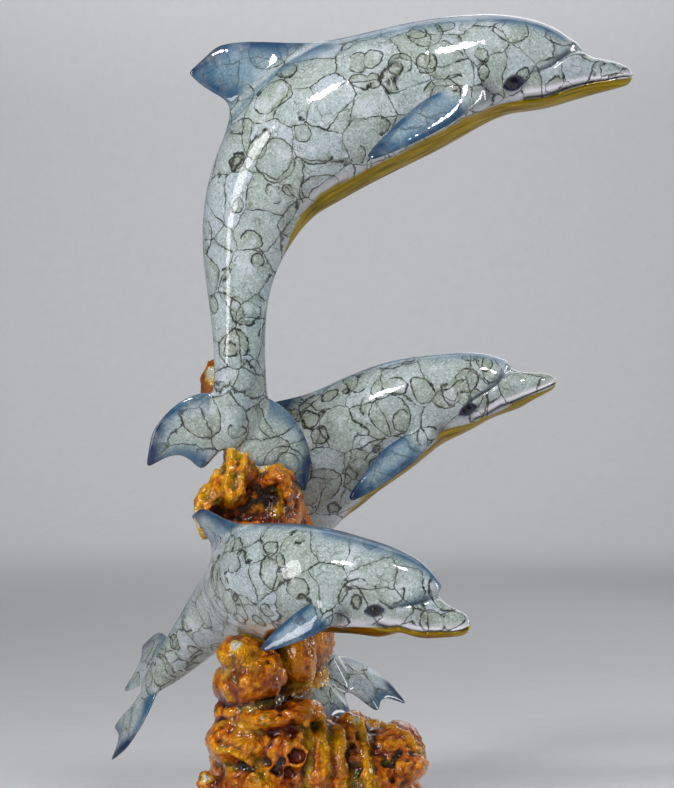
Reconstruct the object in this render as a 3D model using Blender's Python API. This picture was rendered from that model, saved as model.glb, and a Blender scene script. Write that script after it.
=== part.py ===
"""Three leaping dolphins fixed to a stem of coral, a copper statue about 66 cm tall."""
import math

import bmesh
import bpy
from mathutils import Matrix, Vector

# Driving sizes, in metres
CORAL_HEIGHT = 0.390
TOP_LENGTH = 0.531
MIDDLE_LENGTH = 0.430
LOWER_LENGTH = 0.415
FIT_GAP = 0.0004
CORAL_GRAIN = 0.0034

# How fine the solids are
DOLPHIN_KEPT_SHARE = 0.50
CORAL_KEPT_SHARE = 0.036
HOLLOW_KEPT_SHARE = 0.10

# A dolphin's rings, in shares of its length: place along the body from the beak's tip, rise above the
# middle line, fall below it and half width
RINGS = [
    (0.000, 0.008, 0.009, 0.010),
    (0.012, 0.015, 0.015, 0.018),
    (0.030, 0.020, 0.021, 0.022),
    (0.050, 0.023, 0.028, 0.025),
    (0.068, 0.028, 0.036, 0.031),
    (0.080, 0.037, 0.041, 0.037),
    (0.096, 0.050, 0.048, 0.045),
    (0.125, 0.063, 0.060, 0.055),
    (0.160, 0.070, 0.069, 0.063),
    (0.195, 0.075, 0.076, 0.070),
    (0.225, 0.079, 0.081, 0.074),
    (0.255, 0.084, 0.087, 0.078),
    (0.290, 0.089, 0.094, 0.083),
    (0.340, 0.096, 0.101, 0.088),
    (0.400, 0.101, 0.106, 0.090),
    (0.460, 0.102, 0.107, 0.088),
    (0.495, 0.100, 0.105, 0.085),
    (0.530, 0.096, 0.101, 0.080),
    (0.565, 0.090, 0.094, 0.073),
    (0.605, 0.081, 0.084, 0.065),
    (0.655, 0.070, 0.072, 0.054),
    (0.710, 0.059, 0.060, 0.045),
    (0.770, 0.050, 0.050, 0.039),
    (0.830, 0.043, 0.043, 0.040),
    (0.875, 0.038, 0.038, 0.041),
    (0.905, 0.032, 0.032, 0.041),
    (0.935, 0.024, 0.024, 0.038),
    (0.965, 0.016, 0.016, 0.033),
    (0.992, 0.009, 0.009, 0.014),
]
# The angles from the top, in degrees, of the rows beside the back's ridge, at the shoulder and beside the
# belly's ridge
RIDGE_ANGLE, SHOULDER_ANGLE, KEEL_ANGLE = 12, 45, 168
MOUTH_ROW = 3
RING_POINTS = 12
KEEL_START, KEEL_FULL, KEEL_POWER = 0.60, 0.84, 0.45
MOUTH_ROWS = (MOUTH_ROW, RING_POINTS - 1 - MOUTH_ROW)
MOUTH_START, MOUTH_END, MOUTH_DEPTH = 0.010, 0.165, 0.33
EYE_INSET, EYE_BULGE = 0.011, 0.006
MATCH = 1e-6

# Fins, in shares of the dolphin's length. A layer of the back's fin is its rise over the back, its leading and
# trailing places and its half thickness; of a flipper, the share of the way to its tip, its half chord and its
# half thickness; of the fluke, its reach to the side at its leading and its trailing edge, the places of those
# edges and its half thickness
DORSAL_ROOT = (0.40, 0.565)
DORSAL_RISE = 0.094
DORSAL_LAYERS = [
    (0.018, 0.420, 0.545, 0.0125),
    (0.042, 0.438, 0.555, 0.0100),
    (0.066, 0.462, 0.562, 0.0080),
    (0.086, 0.486, 0.563, 0.0062),
    (0.096, 0.506, 0.563, 0.0048),
]
DORSAL_LENS = (0.45, 0.95, 1.00, 0.75, 0.35)
PECTORAL_ROOT = (0.225, 0.290)
PECTORAL_FACE = (0.0, 0.85, 0.50)
PECTORAL_LAYERS = [
    (0.12, 0.0330, 0.0100),
    (0.34, 0.0305, 0.0080),
    (0.58, 0.0245, 0.0062),
    (0.80, 0.0155, 0.0046),
    (0.97, 0.0060, 0.0032),
]
PECTORAL_LENS = (0.55, 1.00, 0.45)
FLUKE_ROOT = (0.905, 0.992)
FLUKE_LAYERS = [
    (0.043, 0.032, 0.909, 1.036, 0.0110),
    (0.060, 0.048, 0.913, 1.024, 0.0088),
    (0.080, 0.070, 0.926, 1.010, 0.0068),
    (0.102, 0.095, 0.948, 1.018, 0.0052),
    (0.121, 0.121, 0.984, 1.044, 0.0042),
]
FLUKE_LENS = (0.50, 1.00, 0.85, 0.35)

# Each dolphin's middle line from beak to tail, in shares of its own length from the place where it holds to
# the coral, and its roll about that line, in degrees: positive turns its back towards the front. The mouth's
# row lies at an angle from the top at places along the body; rise and fall give how much higher or deeper
# than the rings the body is there; a flipper runs from its base to its tip on the straight body; fin_rise and
# fluke_size scale those fins, and fluke_fill takes the fluke's inner trailing edge further back
TOP_POSE = {
    "points": [
        (0.573, 0.000, 0.457), (0.527, 0.000, 0.460), (0.447, 0.000, 0.469), (0.380, 0.000, 0.474),
        (0.307, 0.000, 0.458), (0.234, 0.000, 0.433), (0.157, 0.000, 0.405), (0.087, 0.000, 0.360),
        (0.0335, 0.000, 0.299), (0.002, 0.000, 0.213), (-0.005, 0.000, 0.131), (-0.002, 0.000, 0.057),
        (-0.001, 0.000, 0.000), (-0.007, 0.002, -0.049), (-0.018, 0.006, -0.097),
    ],
    "roll": [(0.0, 0.0), (0.62, -4.0), (0.84, -46.0), (0.92, -80.0), (1.0, -88.0)],
    "mouth": [
        (0.0, 94), (0.016, 98), (0.041, 113), (0.063, 119), (0.099, 129), (0.127, 138), (0.160, 142),
        (0.225, 105),
    ],
    "rise": [
        (0.0, 1.1), (0.030, 1.08), (0.068, 0.88), (0.085, 0.93), (0.125, 0.99), (0.200, 1.0), (0.300, 1.03),
        (0.420, 1.02), (0.500, 1.0),
    ],
    "fall": [(0.0, 1.0), (0.120, 0.98), (0.195, 0.95), (0.300, 0.97), (0.400, 1.0)],
    "eye_rings": (0.160, 0.195),
    "flipper": ((0.264, 0.078, -0.040), (0.428, 0.128, -0.100)),
    "fin_hold": 0.53,
    "fin_rise": 1.0,
    "fluke_size": 1.0,
    "fluke_fill": 0.0,
}
MIDDLE_POSE = {
    "points": [
        (0.494, -0.082, 0.360), (0.454, -0.071, 0.354), (0.415, -0.062, 0.348), (0.364, -0.052, 0.349),
        (0.308, -0.038, 0.340), (0.225, -0.021, 0.319), (0.155, -0.009, 0.286), (0.090, 0.000, 0.241),
        (0.030, 0.013, 0.170), (-0.006, 0.022, 0.085), (-0.008, 0.020, 0.018), (0.007, 0.005, -0.063),
        (0.036, -0.028, -0.126), (0.076, -0.055, -0.167), (0.117, -0.078, -0.217),
    ],
    "roll": [(0.0, 18.0), (0.60, 20.0), (0.84, -12.0), (0.92, -32.0), (1.0, -35.0)],
    "mouth": [
        (0.0, 98), (0.019, 102), (0.048, 110), (0.073, 112), (0.093, 114), (0.116, 120), (0.141, 126),
        (0.160, 128), (0.225, 105),
    ],
    "rise": [(0.0, 1.1), (0.050, 1.06), (0.080, 1.05), (0.125, 1.02), (0.200, 1.0)],
    "fall": [
        (0.0, 1.1), (0.050, 1.02), (0.120, 0.97), (0.195, 1.06), (0.330, 1.17), (0.480, 1.12), (0.700, 1.0),
    ],
    "eye_rings": (0.125, 0.160),
    "flipper": ((0.264, 0.080, -0.040), (0.426, 0.132, -0.113)),
    "fin_hold": 0.53,
    "fin_rise": 1.0,
    "fluke_size": 1.12,
    "fluke_fill": 0.005,
}
LOWER_POSE = {
    "points": [
        (0.388, -0.175, -0.056), (0.344, -0.162, -0.044), (0.312, -0.153, -0.032), (0.277, -0.138, -0.004),
        (0.216, -0.114, 0.015), (0.148, -0.085, 0.024), (0.081, -0.052, 0.026), (0.026, -0.013, 0.021),
        (-0.006, 0.054, 0.004), (-0.030, 0.122, -0.021), (-0.058, 0.176, -0.043), (-0.095, 0.227, -0.072),
        (-0.135, 0.281, -0.116), (-0.173, 0.332, -0.160), (-0.212, 0.388, -0.200), (-0.262, 0.457, -0.247),
    ],
    "roll": [(0.0, 13.0), (0.36, 16.0), (0.50, 33.0), (0.74, 56.0), (0.90, 65.0), (1.0, 67.0)],
    "mouth": [
        (0.0, 105), (0.017, 115), (0.034, 124), (0.065, 129), (0.095, 137), (0.125, 137), (0.160, 134),
        (0.225, 105),
    ],
    "rise": [
        (0.0, 1.1), (0.050, 1.0), (0.080, 1.08), (0.110, 1.08), (0.160, 1.01), (0.200, 0.99), (0.600, 1.0),
        (0.750, 0.94),
    ],
    "fall": [
        (0.0, 1.6), (0.030, 1.42), (0.068, 1.28), (0.096, 1.28), (0.160, 1.30), (0.225, 1.18), (0.290, 1.06),
        (0.340, 1.0),
    ],
    "eye_rings": (0.125, 0.160),
    "flipper": ((0.246, 0.080, -0.038), (0.362, 0.122, -0.118)),
    "fin_hold": 0.48,
    "fin_rise": 0.86,
    "fluke_size": 1.18,
    "fluke_fill": 0.045,
}

# Where the dolphins hold to the coral, in shares of the coral's height
TOP_HOLD = (-0.142, 0.000, 0.947)
MIDDLE_HOLD = (-0.055, 0.215, 0.560)
LOWER_HOLD = (-0.098, -0.140, 0.560)

# The coral's swellings and its hollows, in shares of its height: middle x, y, z and half sizes x, y, z
CORAL_FOOT = [
    (0.000, 0.030, 0.010, 0.225, 0.205, 0.080), (0.130, 0.130, 0.090, 0.105, 0.105, 0.085),
    (-0.136, 0.140, 0.110, 0.100, 0.100, 0.095), (-0.180, -0.090, 0.060, 0.090, 0.090, 0.065),
    (0.030, -0.150, 0.055, 0.115, 0.090, 0.065), (0.190, -0.090, 0.050, 0.075, 0.080, 0.060),
]
CORAL_TRUNK = [
    (-0.085, 0.060, 0.200, 0.120, 0.130, 0.170), (-0.085, 0.040, 0.350, 0.085, 0.110, 0.090),
    (-0.030, 0.110, 0.470, 0.080, 0.100, 0.130), (-0.070, 0.110, 0.610, 0.080, 0.085, 0.130),
    (-0.115, 0.065, 0.715, 0.070, 0.070, 0.100), (-0.180, 0.100, 0.952, 0.049, 0.050, 0.062),
    (-0.140, 0.095, 0.840, 0.046, 0.050, 0.110), (-0.030, 0.150, 0.500, 0.075, 0.080, 0.100),
    (-0.110, -0.080, 0.385, 0.060, 0.075, 0.058), (-0.050, 0.130, 0.300, 0.095, 0.090, 0.140),
    (-0.050, 0.215, 0.390, 0.070, 0.060, 0.090), (0.060, 0.190, 0.180, 0.110, 0.100, 0.100),
    (-0.030, -0.020, 0.415, 0.042, 0.060, 0.070),
]
CORAL_HEAD = [
    (-0.143, 0.020, 0.780, 0.036, 0.050, 0.042), (-0.164, 0.010, 0.745, 0.040, 0.050, 0.045),
    (-0.202, 0.020, 0.700, 0.035, 0.050, 0.056), (-0.068, 0.020, 0.720, 0.036, 0.060, 0.080),
    (-0.045, 0.050, 0.710, 0.030, 0.040, 0.050), (-0.115, 0.030, 0.640, 0.075, 0.060, 0.060),
]
CORAL_FRONT = [
    (-0.118, -0.045, 0.358, 0.068, 0.080, 0.056), (-0.176, -0.020, 0.360, 0.024, 0.050, 0.036),
    (-0.136, -0.075, 0.424, 0.050, 0.060, 0.042),
    (-0.085, -0.090, 0.302, 0.055, 0.065, 0.022), (-0.020, -0.080, 0.312, 0.045, 0.070, 0.024),
    (-0.140, -0.030, 0.300, 0.058, 0.070, 0.040), (-0.135, -0.050, 0.248, 0.076, 0.085, 0.054),
    (-0.100, -0.060, 0.150, 0.090, 0.085, 0.080), (-0.024, -0.070, 0.205, 0.020, 0.052, 0.100),
    (0.014, -0.074, 0.190, 0.020, 0.052, 0.090), (0.052, -0.062, 0.188, 0.019, 0.052, 0.086),
    (0.095, -0.010, 0.195, 0.062, 0.085, 0.072), (0.162, 0.000, 0.224, 0.064, 0.080, 0.056),
    (0.180, -0.020, 0.200, 0.052, 0.075, 0.042), (0.120, -0.050, 0.150, 0.070, 0.070, 0.080),
    (-0.205, -0.060, 0.165, 0.022, 0.026, 0.026), (0.080, -0.010, 0.300, 0.035, 0.060, 0.040),
]
# Round the foot's rim stand more lumps: how many, the ring that they stand on, as its middle and its half
# width and depth, and their half widths and heights, taken in turn
RIM_LUMPS = 11
RIM_RING = (0.000, 0.030, 0.215, 0.190)
RIM_SIZES = [(0.072, 0.062), (0.058, 0.078), (0.066, 0.050)]
CORAL_HOLLOWS = [
    (-0.184, -0.040, 0.680, 0.026, 0.050, 0.040), (-0.114, -0.050, 0.735, 0.017, 0.045, 0.055),
    (-0.016, -0.105, 0.352, 0.052, 0.070, 0.022), (-0.060, -0.150, 0.336, 0.045, 0.050, 0.016),
]

# Colours, linear red, green and blue
ENAMEL_COLOUR = (0.42, 0.46, 0.45)
LACQUER_COLOUR = (0.52, 0.17, 0.02)


def remove_old_objects():
    """Starts from an empty scene."""
    for old in list(bpy.data.objects):
        bpy.data.objects.remove(old, do_unlink=True)


def material(name, colour, roughness, metallic):
    """Makes one plain Principled material."""
    finish = bpy.data.materials.new(name)
    finish.use_nodes = True
    shader = finish.node_tree.nodes["Principled BSDF"]
    shader.inputs["Base Color"].default_value = (*colour, 1.0)
    shader.inputs["Roughness"].default_value = roughness
    shader.inputs["Metallic"].default_value = metallic
    return finish


def smooth_share(value, low, high):
    """Goes smoothly from 0 at low to 1 at high."""
    share = min(max((value - low) / (high - low), 0.0), 1.0)
    return share * share * (3.0 - 2.0 * share)


def read_between(keys, place):
    """Reads a value from (place, value) keys, easing between neighbours."""
    for (low, before), (high, after) in zip(keys, keys[1:]):
        if place <= high:
            return before + (after - before) * smooth_share(place, low, high)
    return keys[-1][1]


def ring_angle(index, mouth_angle):
    """Gives a ring point's angle in degrees from the top, positive towards the dolphin's right side."""
    over_mouth = (SHOULDER_ANGLE + mouth_angle) / 2
    under_mouth = (mouth_angle + KEEL_ANGLE) / 2
    half_ring = [RIDGE_ANGLE, SHOULDER_ANGLE, over_mouth, mouth_angle, under_mouth, KEEL_ANGLE]
    if index < len(half_ring):
        return half_ring[index]
    return -half_ring[RING_POINTS - 1 - index]


def ring_point(pose, ring, index):
    """Places one point of a ring on the straight body: along, to the right, up."""
    along, rise, fall, half_width = ring
    angle = math.radians(ring_angle(index, read_between(pose["mouth"], along)))
    if math.cos(angle) > 0:
        height = rise * read_between(pose["rise"], along)
    else:
        height = fall * read_between(pose["fall"], along)
    keel = 1.0 + KEEL_POWER * smooth_share(along, KEEL_START, KEEL_FULL)
    width = math.copysign(abs(math.sin(angle)) ** keel, math.sin(angle)) * half_width
    # Rounding off draws a ring of points inwards, so the points stand a little outside the skin
    fullness = 3.0 / (2.0 + math.cos(2.0 * math.pi / RING_POINTS))
    if index in MOUTH_ROWS and MOUTH_START < along < MOUTH_END:
        fullness -= MOUTH_DEPTH * smooth_share(MOUTH_END - along, 0.0, MOUTH_END / 2)
    return Vector((along, width * fullness, math.cos(angle) * height * fullness))


def straight_dolphin(pose):
    """Models the straight body and its fins; layers keep each point's ring, row and fin."""
    cage = bmesh.new()
    row = cage.verts.layers.int.new("row")
    ring_number = cage.verts.layers.int.new("ring")
    hold = cage.verts.layers.float.new("hold")
    grip = cage.verts.layers.float.new("grip")
    first = []
    for index in range(RING_POINTS):
        point = cage.verts.new(ring_point(pose, RINGS[0], index))
        point[row] = index
        first.append(point)
    end = cage.faces.new(first)
    for number, ring in enumerate(RINGS[1:], start=1):
        end = grow_faces(cage, [end], keep_old=number == 1)[0]
        for point in end.verts:
            point.co = ring_point(pose, ring, point[row])
            point[ring_number] = number
    layers = (row, ring_number, hold, grip)
    crease_mouth(cage, layers)
    grow_dorsal_fin(cage, layers, pose)
    for side in (1, -1):
        grow_pectoral_fin(cage, layers, pose, side)
        grow_fluke(cage, layers, pose, side)
        raise_eye(cage, layers, pose, side)
    bmesh.ops.recalc_face_normals(cage, faces=cage.faces)
    return cage, hold, grip


def grow_faces(cage, faces, keep_old):
    """Extrudes faces and gives the new ones; the old ones go unless they close the beak's tip."""
    grown = bmesh.ops.extrude_face_region(cage, geom=faces)["geom"]
    if not keep_old:
        bmesh.ops.delete(cage, geom=faces, context="FACES_KEEP_BOUNDARY")
    return [item for item in grown if isinstance(item, bmesh.types.BMFace)]


def strip_faces(cage, layers, rows, root):
    """Finds the faces between two rows of points and two places along the body."""
    row, ring_number = layers[0], layers[1]
    rings = {number for number, ring in enumerate(RINGS) if root[0] - MATCH < ring[0] < root[1] + MATCH}
    return [
        face for face in cage.faces
        if all(point[row] in rows and point[ring_number] in rings for point in face.verts)
    ]


def grow_fin(cage, layers, rows, root, count, place):
    """Extrudes a strip of faces count times; place(layer, share, row) gives each new point."""
    row, ring_number, hold, grip = layers
    faces = strip_faces(cage, layers, rows, root)
    numbers = sorted({point[ring_number] for face in faces for point in face.verts})
    for layer in range(count):
        faces = grow_faces(cage, faces, keep_old=False)
        for point in {corner for face in faces for corner in face.verts}:
            step = numbers.index(point[ring_number])
            point.co, point[hold], point[grip] = place(layer, step, point[row])


def grow_dorsal_fin(cage, layers, pose):
    """Raises the hooked fin on the back."""
    def place(layer, step, row):
        rise, lead, trail, half_thickness = DORSAL_LAYERS[layer]
        along = lead + (trail - lead) * step / (len(DORSAL_LENS) - 1)
        side = 1 if row == 0 else -1
        up = DORSAL_RISE + rise * pose["fin_rise"]
        point = Vector((along, side * half_thickness * DORSAL_LENS[step], up))
        return point, pose["fin_hold"], min(1.0, (layer + 1) / 2)
    grow_fin(cage, layers, {0, RING_POINTS - 1}, DORSAL_ROOT, len(DORSAL_LAYERS), place)


def grow_pectoral_fin(cage, layers, pose, side):
    """Grows one flipper, swept back, down and out."""
    base, tip = (Vector(end) for end in pose["flipper"])
    span = (tip - base).normalized()
    face = Vector(PECTORAL_FACE)
    face = (face - span * face.dot(span)).normalized()
    chord = face.cross(span)
    upper_row = MOUTH_ROW if side > 0 else RING_POINTS - 1 - MOUTH_ROW
    rows = {upper_row, upper_row + side}

    def place(layer, step, row):
        share, half_chord, half_thickness = PECTORAL_LAYERS[layer]
        outward = 1 if row == upper_row else -1
        point = base.lerp(tip, share) + chord * half_chord * (1 - step)
        point += face * half_thickness * PECTORAL_LENS[step] * outward
        point.y *= side
        return point, sum(PECTORAL_ROOT) / 2, min(1.0, (layer + 1) / 2)
    grow_fin(cage, layers, rows, PECTORAL_ROOT, len(PECTORAL_LAYERS), place)


def grow_fluke(cage, layers, pose, side):
    """Grows one lobe of the tail fluke."""
    upper_row = MOUTH_ROW - 1 if side > 0 else RING_POINTS - MOUTH_ROW
    rows = {upper_row, upper_row + side}

    def place(layer, step, row):
        lead_reach, trail_reach, lead, trail, half_thickness = FLUKE_LAYERS[layer]
        share = step / (len(FLUKE_LENS) - 1)
        trail += pose["fluke_fill"] * (1 - layer / (len(FLUKE_LAYERS) - 1))
        back = (lead + (trail - lead) * share - FLUKE_ROOT[0]) * pose["fluke_size"]
        out = (lead_reach + (trail_reach - lead_reach) * share) * pose["fluke_size"]
        upward = 1 if row == upper_row else -1
        point = Vector((FLUKE_ROOT[0] + back, side * out, upward * half_thickness * FLUKE_LENS[step]))
        return point, sum(FLUKE_ROOT) / 2, min(1.0, (layer + 1) / 3)
    grow_fin(cage, layers, rows, FLUKE_ROOT, len(FLUKE_LAYERS), place)


def crease_mouth(cage, layers):
    """Keeps the mouth's line sharp where the cage is rounded off."""
    row, ring_number = layers[0], layers[1]
    crease = cage.edges.layers.float.new("crease_edge")
    for edge in cage.edges:
        in_mouth = all(
            point[row] in MOUTH_ROWS and MOUTH_START < RINGS[point[ring_number]][0] < MOUTH_END
            for point in edge.verts
        )
        if in_mouth and edge.verts[0][row] == edge.verts[1][row]:
            edge[crease] = 1.0


def raise_eye(cage, layers, pose, side):
    """Raises one eye a little from the cheek."""
    upper_row = MOUTH_ROW - 1 if side > 0 else RING_POINTS - MOUTH_ROW
    cheek = strip_faces(cage, layers, {upper_row, upper_row + side}, pose["eye_rings"])
    bmesh.ops.inset_individual(cage, faces=cheek, thickness=EYE_INSET, depth=EYE_BULGE)


def middle_line(points, steps=16):
    """Runs a smooth curve through the points; gives its places and how far along each one lies."""
    ends = [points[0] * 2 - points[1]] + points + [points[-1] * 2 - points[-2]]
    places = []
    for before, start, stop, after in zip(ends, ends[1:], ends[2:], ends[3:]):
        for step in range(steps):
            t = step / steps
            bend = (before * -1 + start * 3 - stop * 3 + after) * t ** 3
            bend += (before * 2 - start * 5 + stop * 4 - after) * t ** 2
            bend += (stop - before) * t + start * 2
            places.append(bend / 2)
    places.append(points[-1])
    reached = [0.0]
    for last, place in zip(places, places[1:]):
        reached.append(reached[-1] + (place - last).length)
    return places, [value / reached[-1] for value in reached], reached[-1]


class Spine:
    """A dolphin's middle line in the statue, with the directions across it."""

    def __init__(self, pose, length, hold):
        points = [Vector(point) for point in pose["points"]]
        places, self.shares, reach = middle_line(points)
        self.length = length
        self.places = [hold + place * (length / reach) for place in places]
        self.roll = pose["roll"]
        self.tangents = []
        for number in range(len(places)):
            back = places[min(number + 1, len(places) - 1)] - places[max(number - 1, 0)]
            self.tangents.append(back.normalized())
        across = Vector((0.0, -1.0, 0.0))
        self.rights = []
        for tangent in self.tangents:
            across = (across - tangent * across.dot(tangent)).normalized()
            self.rights.append(across)

    def frame(self, share):
        """Gives the place, the backward, right and up directions at a share of the length."""
        number = len(self.shares) - 2
        while number > 0 and self.shares[number] > share:
            number -= 1
        low, high = self.shares[number], self.shares[number + 1]
        part = (share - low) / (high - low)
        place = self.places[number].lerp(self.places[number + 1], part)
        inside = min(max(part, 0.0), 1.0)
        back = self.tangents[number].lerp(self.tangents[number + 1], inside).normalized()
        right = self.rights[number].lerp(self.rights[number + 1], inside).normalized()
        turn = Matrix.Rotation(-math.radians(read_between(self.roll, share)), 3, back)
        right = turn @ right
        return place, back, right, right.cross(back) * -1

    def bend(self, point):
        """Takes a point of the straight body to the posed one."""
        place, _, right, up = self.frame(point.x)
        return place + (right * point.y + up * point.z) * self.length

    def carry(self, point, hold):
        """Takes a fin's point to the statue on the stiff frame at hold."""
        place, back, right, up = self.frame(hold)
        return place + (back * (point.x - hold) + right * point.y + up * point.z) * self.length


def finished_object(name, shape):
    """Turns a modelled shape into an object."""
    mesh = bpy.data.meshes.new(name)
    shape.to_mesh(mesh)
    shape.free()
    body = bpy.data.objects.new(name, mesh)
    bpy.context.collection.objects.link(body)
    return body


def round_off(body):
    """Rounds a dolphin's cage off, then merges the triangles that its form can spare."""
    rounding = body.modifiers.new("rounding", "SUBSURF")
    rounding.levels = 1
    rounding.render_levels = 1
    thin(body, DOLPHIN_KEPT_SHARE)


def dolphin(name, pose, length, hold, finish):
    """Makes one posed dolphin."""
    spine = Spine(pose, length, Vector(hold) * CORAL_HEIGHT)
    cage, hold_layer, grip_layer = straight_dolphin(pose)
    for point in cage.verts:
        bent = spine.bend(point.co)
        if point[grip_layer] > 0:
            bent = bent.lerp(spine.carry(point.co, point[hold_layer]), point[grip_layer])
        point.co = bent
    body = finished_object(name, cage)
    body.data.materials.append(finish)
    body.data.shade_smooth()
    round_off(body)
    return body


def rim_lumps():
    """Lists the lumps that stand evenly round the foot's rim."""
    middle_x, middle_y, ring_x, ring_y = RIM_RING
    lumps = []
    for number in range(RIM_LUMPS):
        angle = 2.0 * math.pi * number / RIM_LUMPS
        half_width, half_height = RIM_SIZES[number % len(RIM_SIZES)]
        x, y = middle_x + ring_x * math.cos(angle), middle_y + ring_y * math.sin(angle)
        lumps.append((x, y, half_height / 3, half_width, half_width, half_height))
    return lumps


def swellings(name, table):
    """Joins rounded lumps into one mesh, in place."""
    lumps = bmesh.new()
    for x, y, z, half_x, half_y, half_z in table:
        place = Matrix.Translation(Vector((x, y, z)) * CORAL_HEIGHT)
        size = Matrix.Diagonal(Vector((half_x, half_y, half_z)) * CORAL_HEIGHT).to_4x4()
        bmesh.ops.create_icosphere(lumps, subdivisions=3, radius=1.0, matrix=place @ size)
    return finished_object(name, lumps)


def hide_cutter(cutter):
    """Marks an object as a cutter, which is no part of the statue."""
    cutter.hide_render = True
    cutter.display_type = "WIRE"


def weld(body, grain):
    """Runs overlapping lumps together into one skin."""
    welding = body.modifiers.new("welding", "REMESH")
    welding.mode = "VOXEL"
    welding.voxel_size = grain


def thin(body, kept_share):
    """Merges small triangles until a share of them is left."""
    thinning = body.modifiers.new("thinning", "DECIMATE")
    thinning.ratio = kept_share


def cut(body, cutter, name):
    """Takes a cutter's shape out of a body."""
    cutting = body.modifiers.new(name, "BOOLEAN")
    cutting.operation = "DIFFERENCE"
    cutting.solver = "EXACT"
    cutting.object = cutter


def coral_stem(dolphins, finish):
    """Makes the coral, hollowed, flat below, and cut back where each dolphin is seated in it."""
    lumps = CORAL_FOOT + rim_lumps() + CORAL_TRUNK + CORAL_HEAD + CORAL_FRONT
    stem = swellings("coral_stem", lumps)
    stem.data.materials.append(finish)
    hollows = swellings("hollow_cutter", CORAL_HOLLOWS)
    weld(hollows, CORAL_GRAIN)
    thin(hollows, HOLLOW_KEPT_SHARE)
    hide_cutter(hollows)
    weld(stem, CORAL_GRAIN)
    thin(stem, CORAL_KEPT_SHARE)
    cut(stem, hollows, "hollows")
    ground = ground_cutter()
    cut(stem, ground, "flat underside")
    for body in dolphins:
        seat = bpy.data.objects.new(body.name + "_seat_cutter", body.data)
        bpy.context.collection.objects.link(seat)
        round_off(seat)
        growing = seat.modifiers.new("fit gap", "DISPLACE")
        growing.strength = FIT_GAP
        growing.mid_level = 0.0
        hide_cutter(seat)
        cut(stem, seat, body.name + " seat")
    stem.data.shade_smooth()
    return stem


def ground_cutter():
    """Makes the block that levels the coral's underside at height zero."""
    block = bmesh.new()
    bmesh.ops.create_cube(block, size=2 * CORAL_HEIGHT)
    bmesh.ops.translate(block, verts=block.verts, vec=(0.0, 0.0, -CORAL_HEIGHT))
    cutter = finished_object("ground_cutter", block)
    hide_cutter(cutter)
    return cutter


def build():
    """Builds the whole statue."""
    remove_old_objects()
    enamel = material("crackled enamel", ENAMEL_COLOUR, 0.2, 0.0)
    lacquer = material("amber lacquer", LACQUER_COLOUR, 0.25, 0.0)
    dolphins = [
        dolphin("top_dolphin", TOP_POSE, TOP_LENGTH, TOP_HOLD, enamel),
        dolphin("middle_dolphin", MIDDLE_POSE, MIDDLE_LENGTH, MIDDLE_HOLD, enamel),
        dolphin("lower_dolphin", LOWER_POSE, LOWER_LENGTH, LOWER_HOLD, enamel),
    ]
    coral_stem(dolphins, lacquer)


build()
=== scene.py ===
"""The looks of a copper statue: dolphins in crackled enamel leap from coral in amber lacquer."""
import math

import bmesh
import bpy
import numpy as np
from mathutils import Matrix, Vector, noise
from mathutils.bvhtree import BVHTree


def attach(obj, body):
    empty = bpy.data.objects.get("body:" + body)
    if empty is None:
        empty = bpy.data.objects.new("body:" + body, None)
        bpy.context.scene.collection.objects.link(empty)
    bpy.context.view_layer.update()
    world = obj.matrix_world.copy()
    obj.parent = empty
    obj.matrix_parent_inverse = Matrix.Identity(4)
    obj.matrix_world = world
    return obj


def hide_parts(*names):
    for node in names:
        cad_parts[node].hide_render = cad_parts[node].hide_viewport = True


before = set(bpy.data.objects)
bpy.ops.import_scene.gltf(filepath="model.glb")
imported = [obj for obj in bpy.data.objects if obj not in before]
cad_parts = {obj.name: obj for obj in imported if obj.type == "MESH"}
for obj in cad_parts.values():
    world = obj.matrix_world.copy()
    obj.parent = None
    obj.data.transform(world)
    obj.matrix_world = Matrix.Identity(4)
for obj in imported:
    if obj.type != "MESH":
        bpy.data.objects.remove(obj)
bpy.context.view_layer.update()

MM = 0.001

# The photograph's view: millimetres for a pixel at the statue's middle, and the camera's place
PHOTO_WIDTH, PHOTO_HEIGHT = 674, 788
PIXEL = 0.78 * MM
CAMERA_DISTANCE = 2.0
CAMERA_X = 19.5 * MM
CAMERA_Z = 365.3 * MM
SENSOR = 36.0

# The statue's driving sizes
CORAL_HEIGHT = 0.390
TOP_LENGTH = 0.531
MIDDLE_LENGTH = 0.430
LOWER_LENGTH = 0.415
# How fine the coral's mesh is, which keeps it under 200,000 triangles
CORAL_GRAIN = 1.95 * MM

# A dolphin's rings, in shares of its length: place along the body from the beak's tip, rise above the
# middle line, fall below it and half width
RINGS = [
    (0.000, 0.008, 0.009, 0.010),
    (0.012, 0.015, 0.015, 0.018),
    (0.030, 0.020, 0.021, 0.022),
    (0.050, 0.023, 0.028, 0.025),
    (0.068, 0.028, 0.036, 0.031),
    (0.080, 0.037, 0.041, 0.037),
    (0.096, 0.050, 0.048, 0.045),
    (0.125, 0.063, 0.060, 0.055),
    (0.160, 0.070, 0.069, 0.063),
    (0.195, 0.075, 0.076, 0.070),
    (0.225, 0.079, 0.081, 0.074),
    (0.255, 0.084, 0.087, 0.078),
    (0.290, 0.089, 0.094, 0.083),
    (0.340, 0.096, 0.101, 0.088),
    (0.400, 0.101, 0.106, 0.090),
    (0.460, 0.102, 0.107, 0.088),
    (0.495, 0.100, 0.105, 0.085),
    (0.530, 0.096, 0.101, 0.080),
    (0.565, 0.090, 0.094, 0.073),
    (0.605, 0.081, 0.084, 0.065),
    (0.655, 0.070, 0.072, 0.054),
    (0.710, 0.059, 0.060, 0.045),
    (0.770, 0.050, 0.050, 0.039),
    (0.830, 0.043, 0.043, 0.040),
    (0.875, 0.038, 0.038, 0.041),
    (0.905, 0.032, 0.032, 0.041),
    (0.935, 0.024, 0.024, 0.038),
    (0.965, 0.016, 0.016, 0.033),
    (0.992, 0.009, 0.009, 0.014),
]
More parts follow.
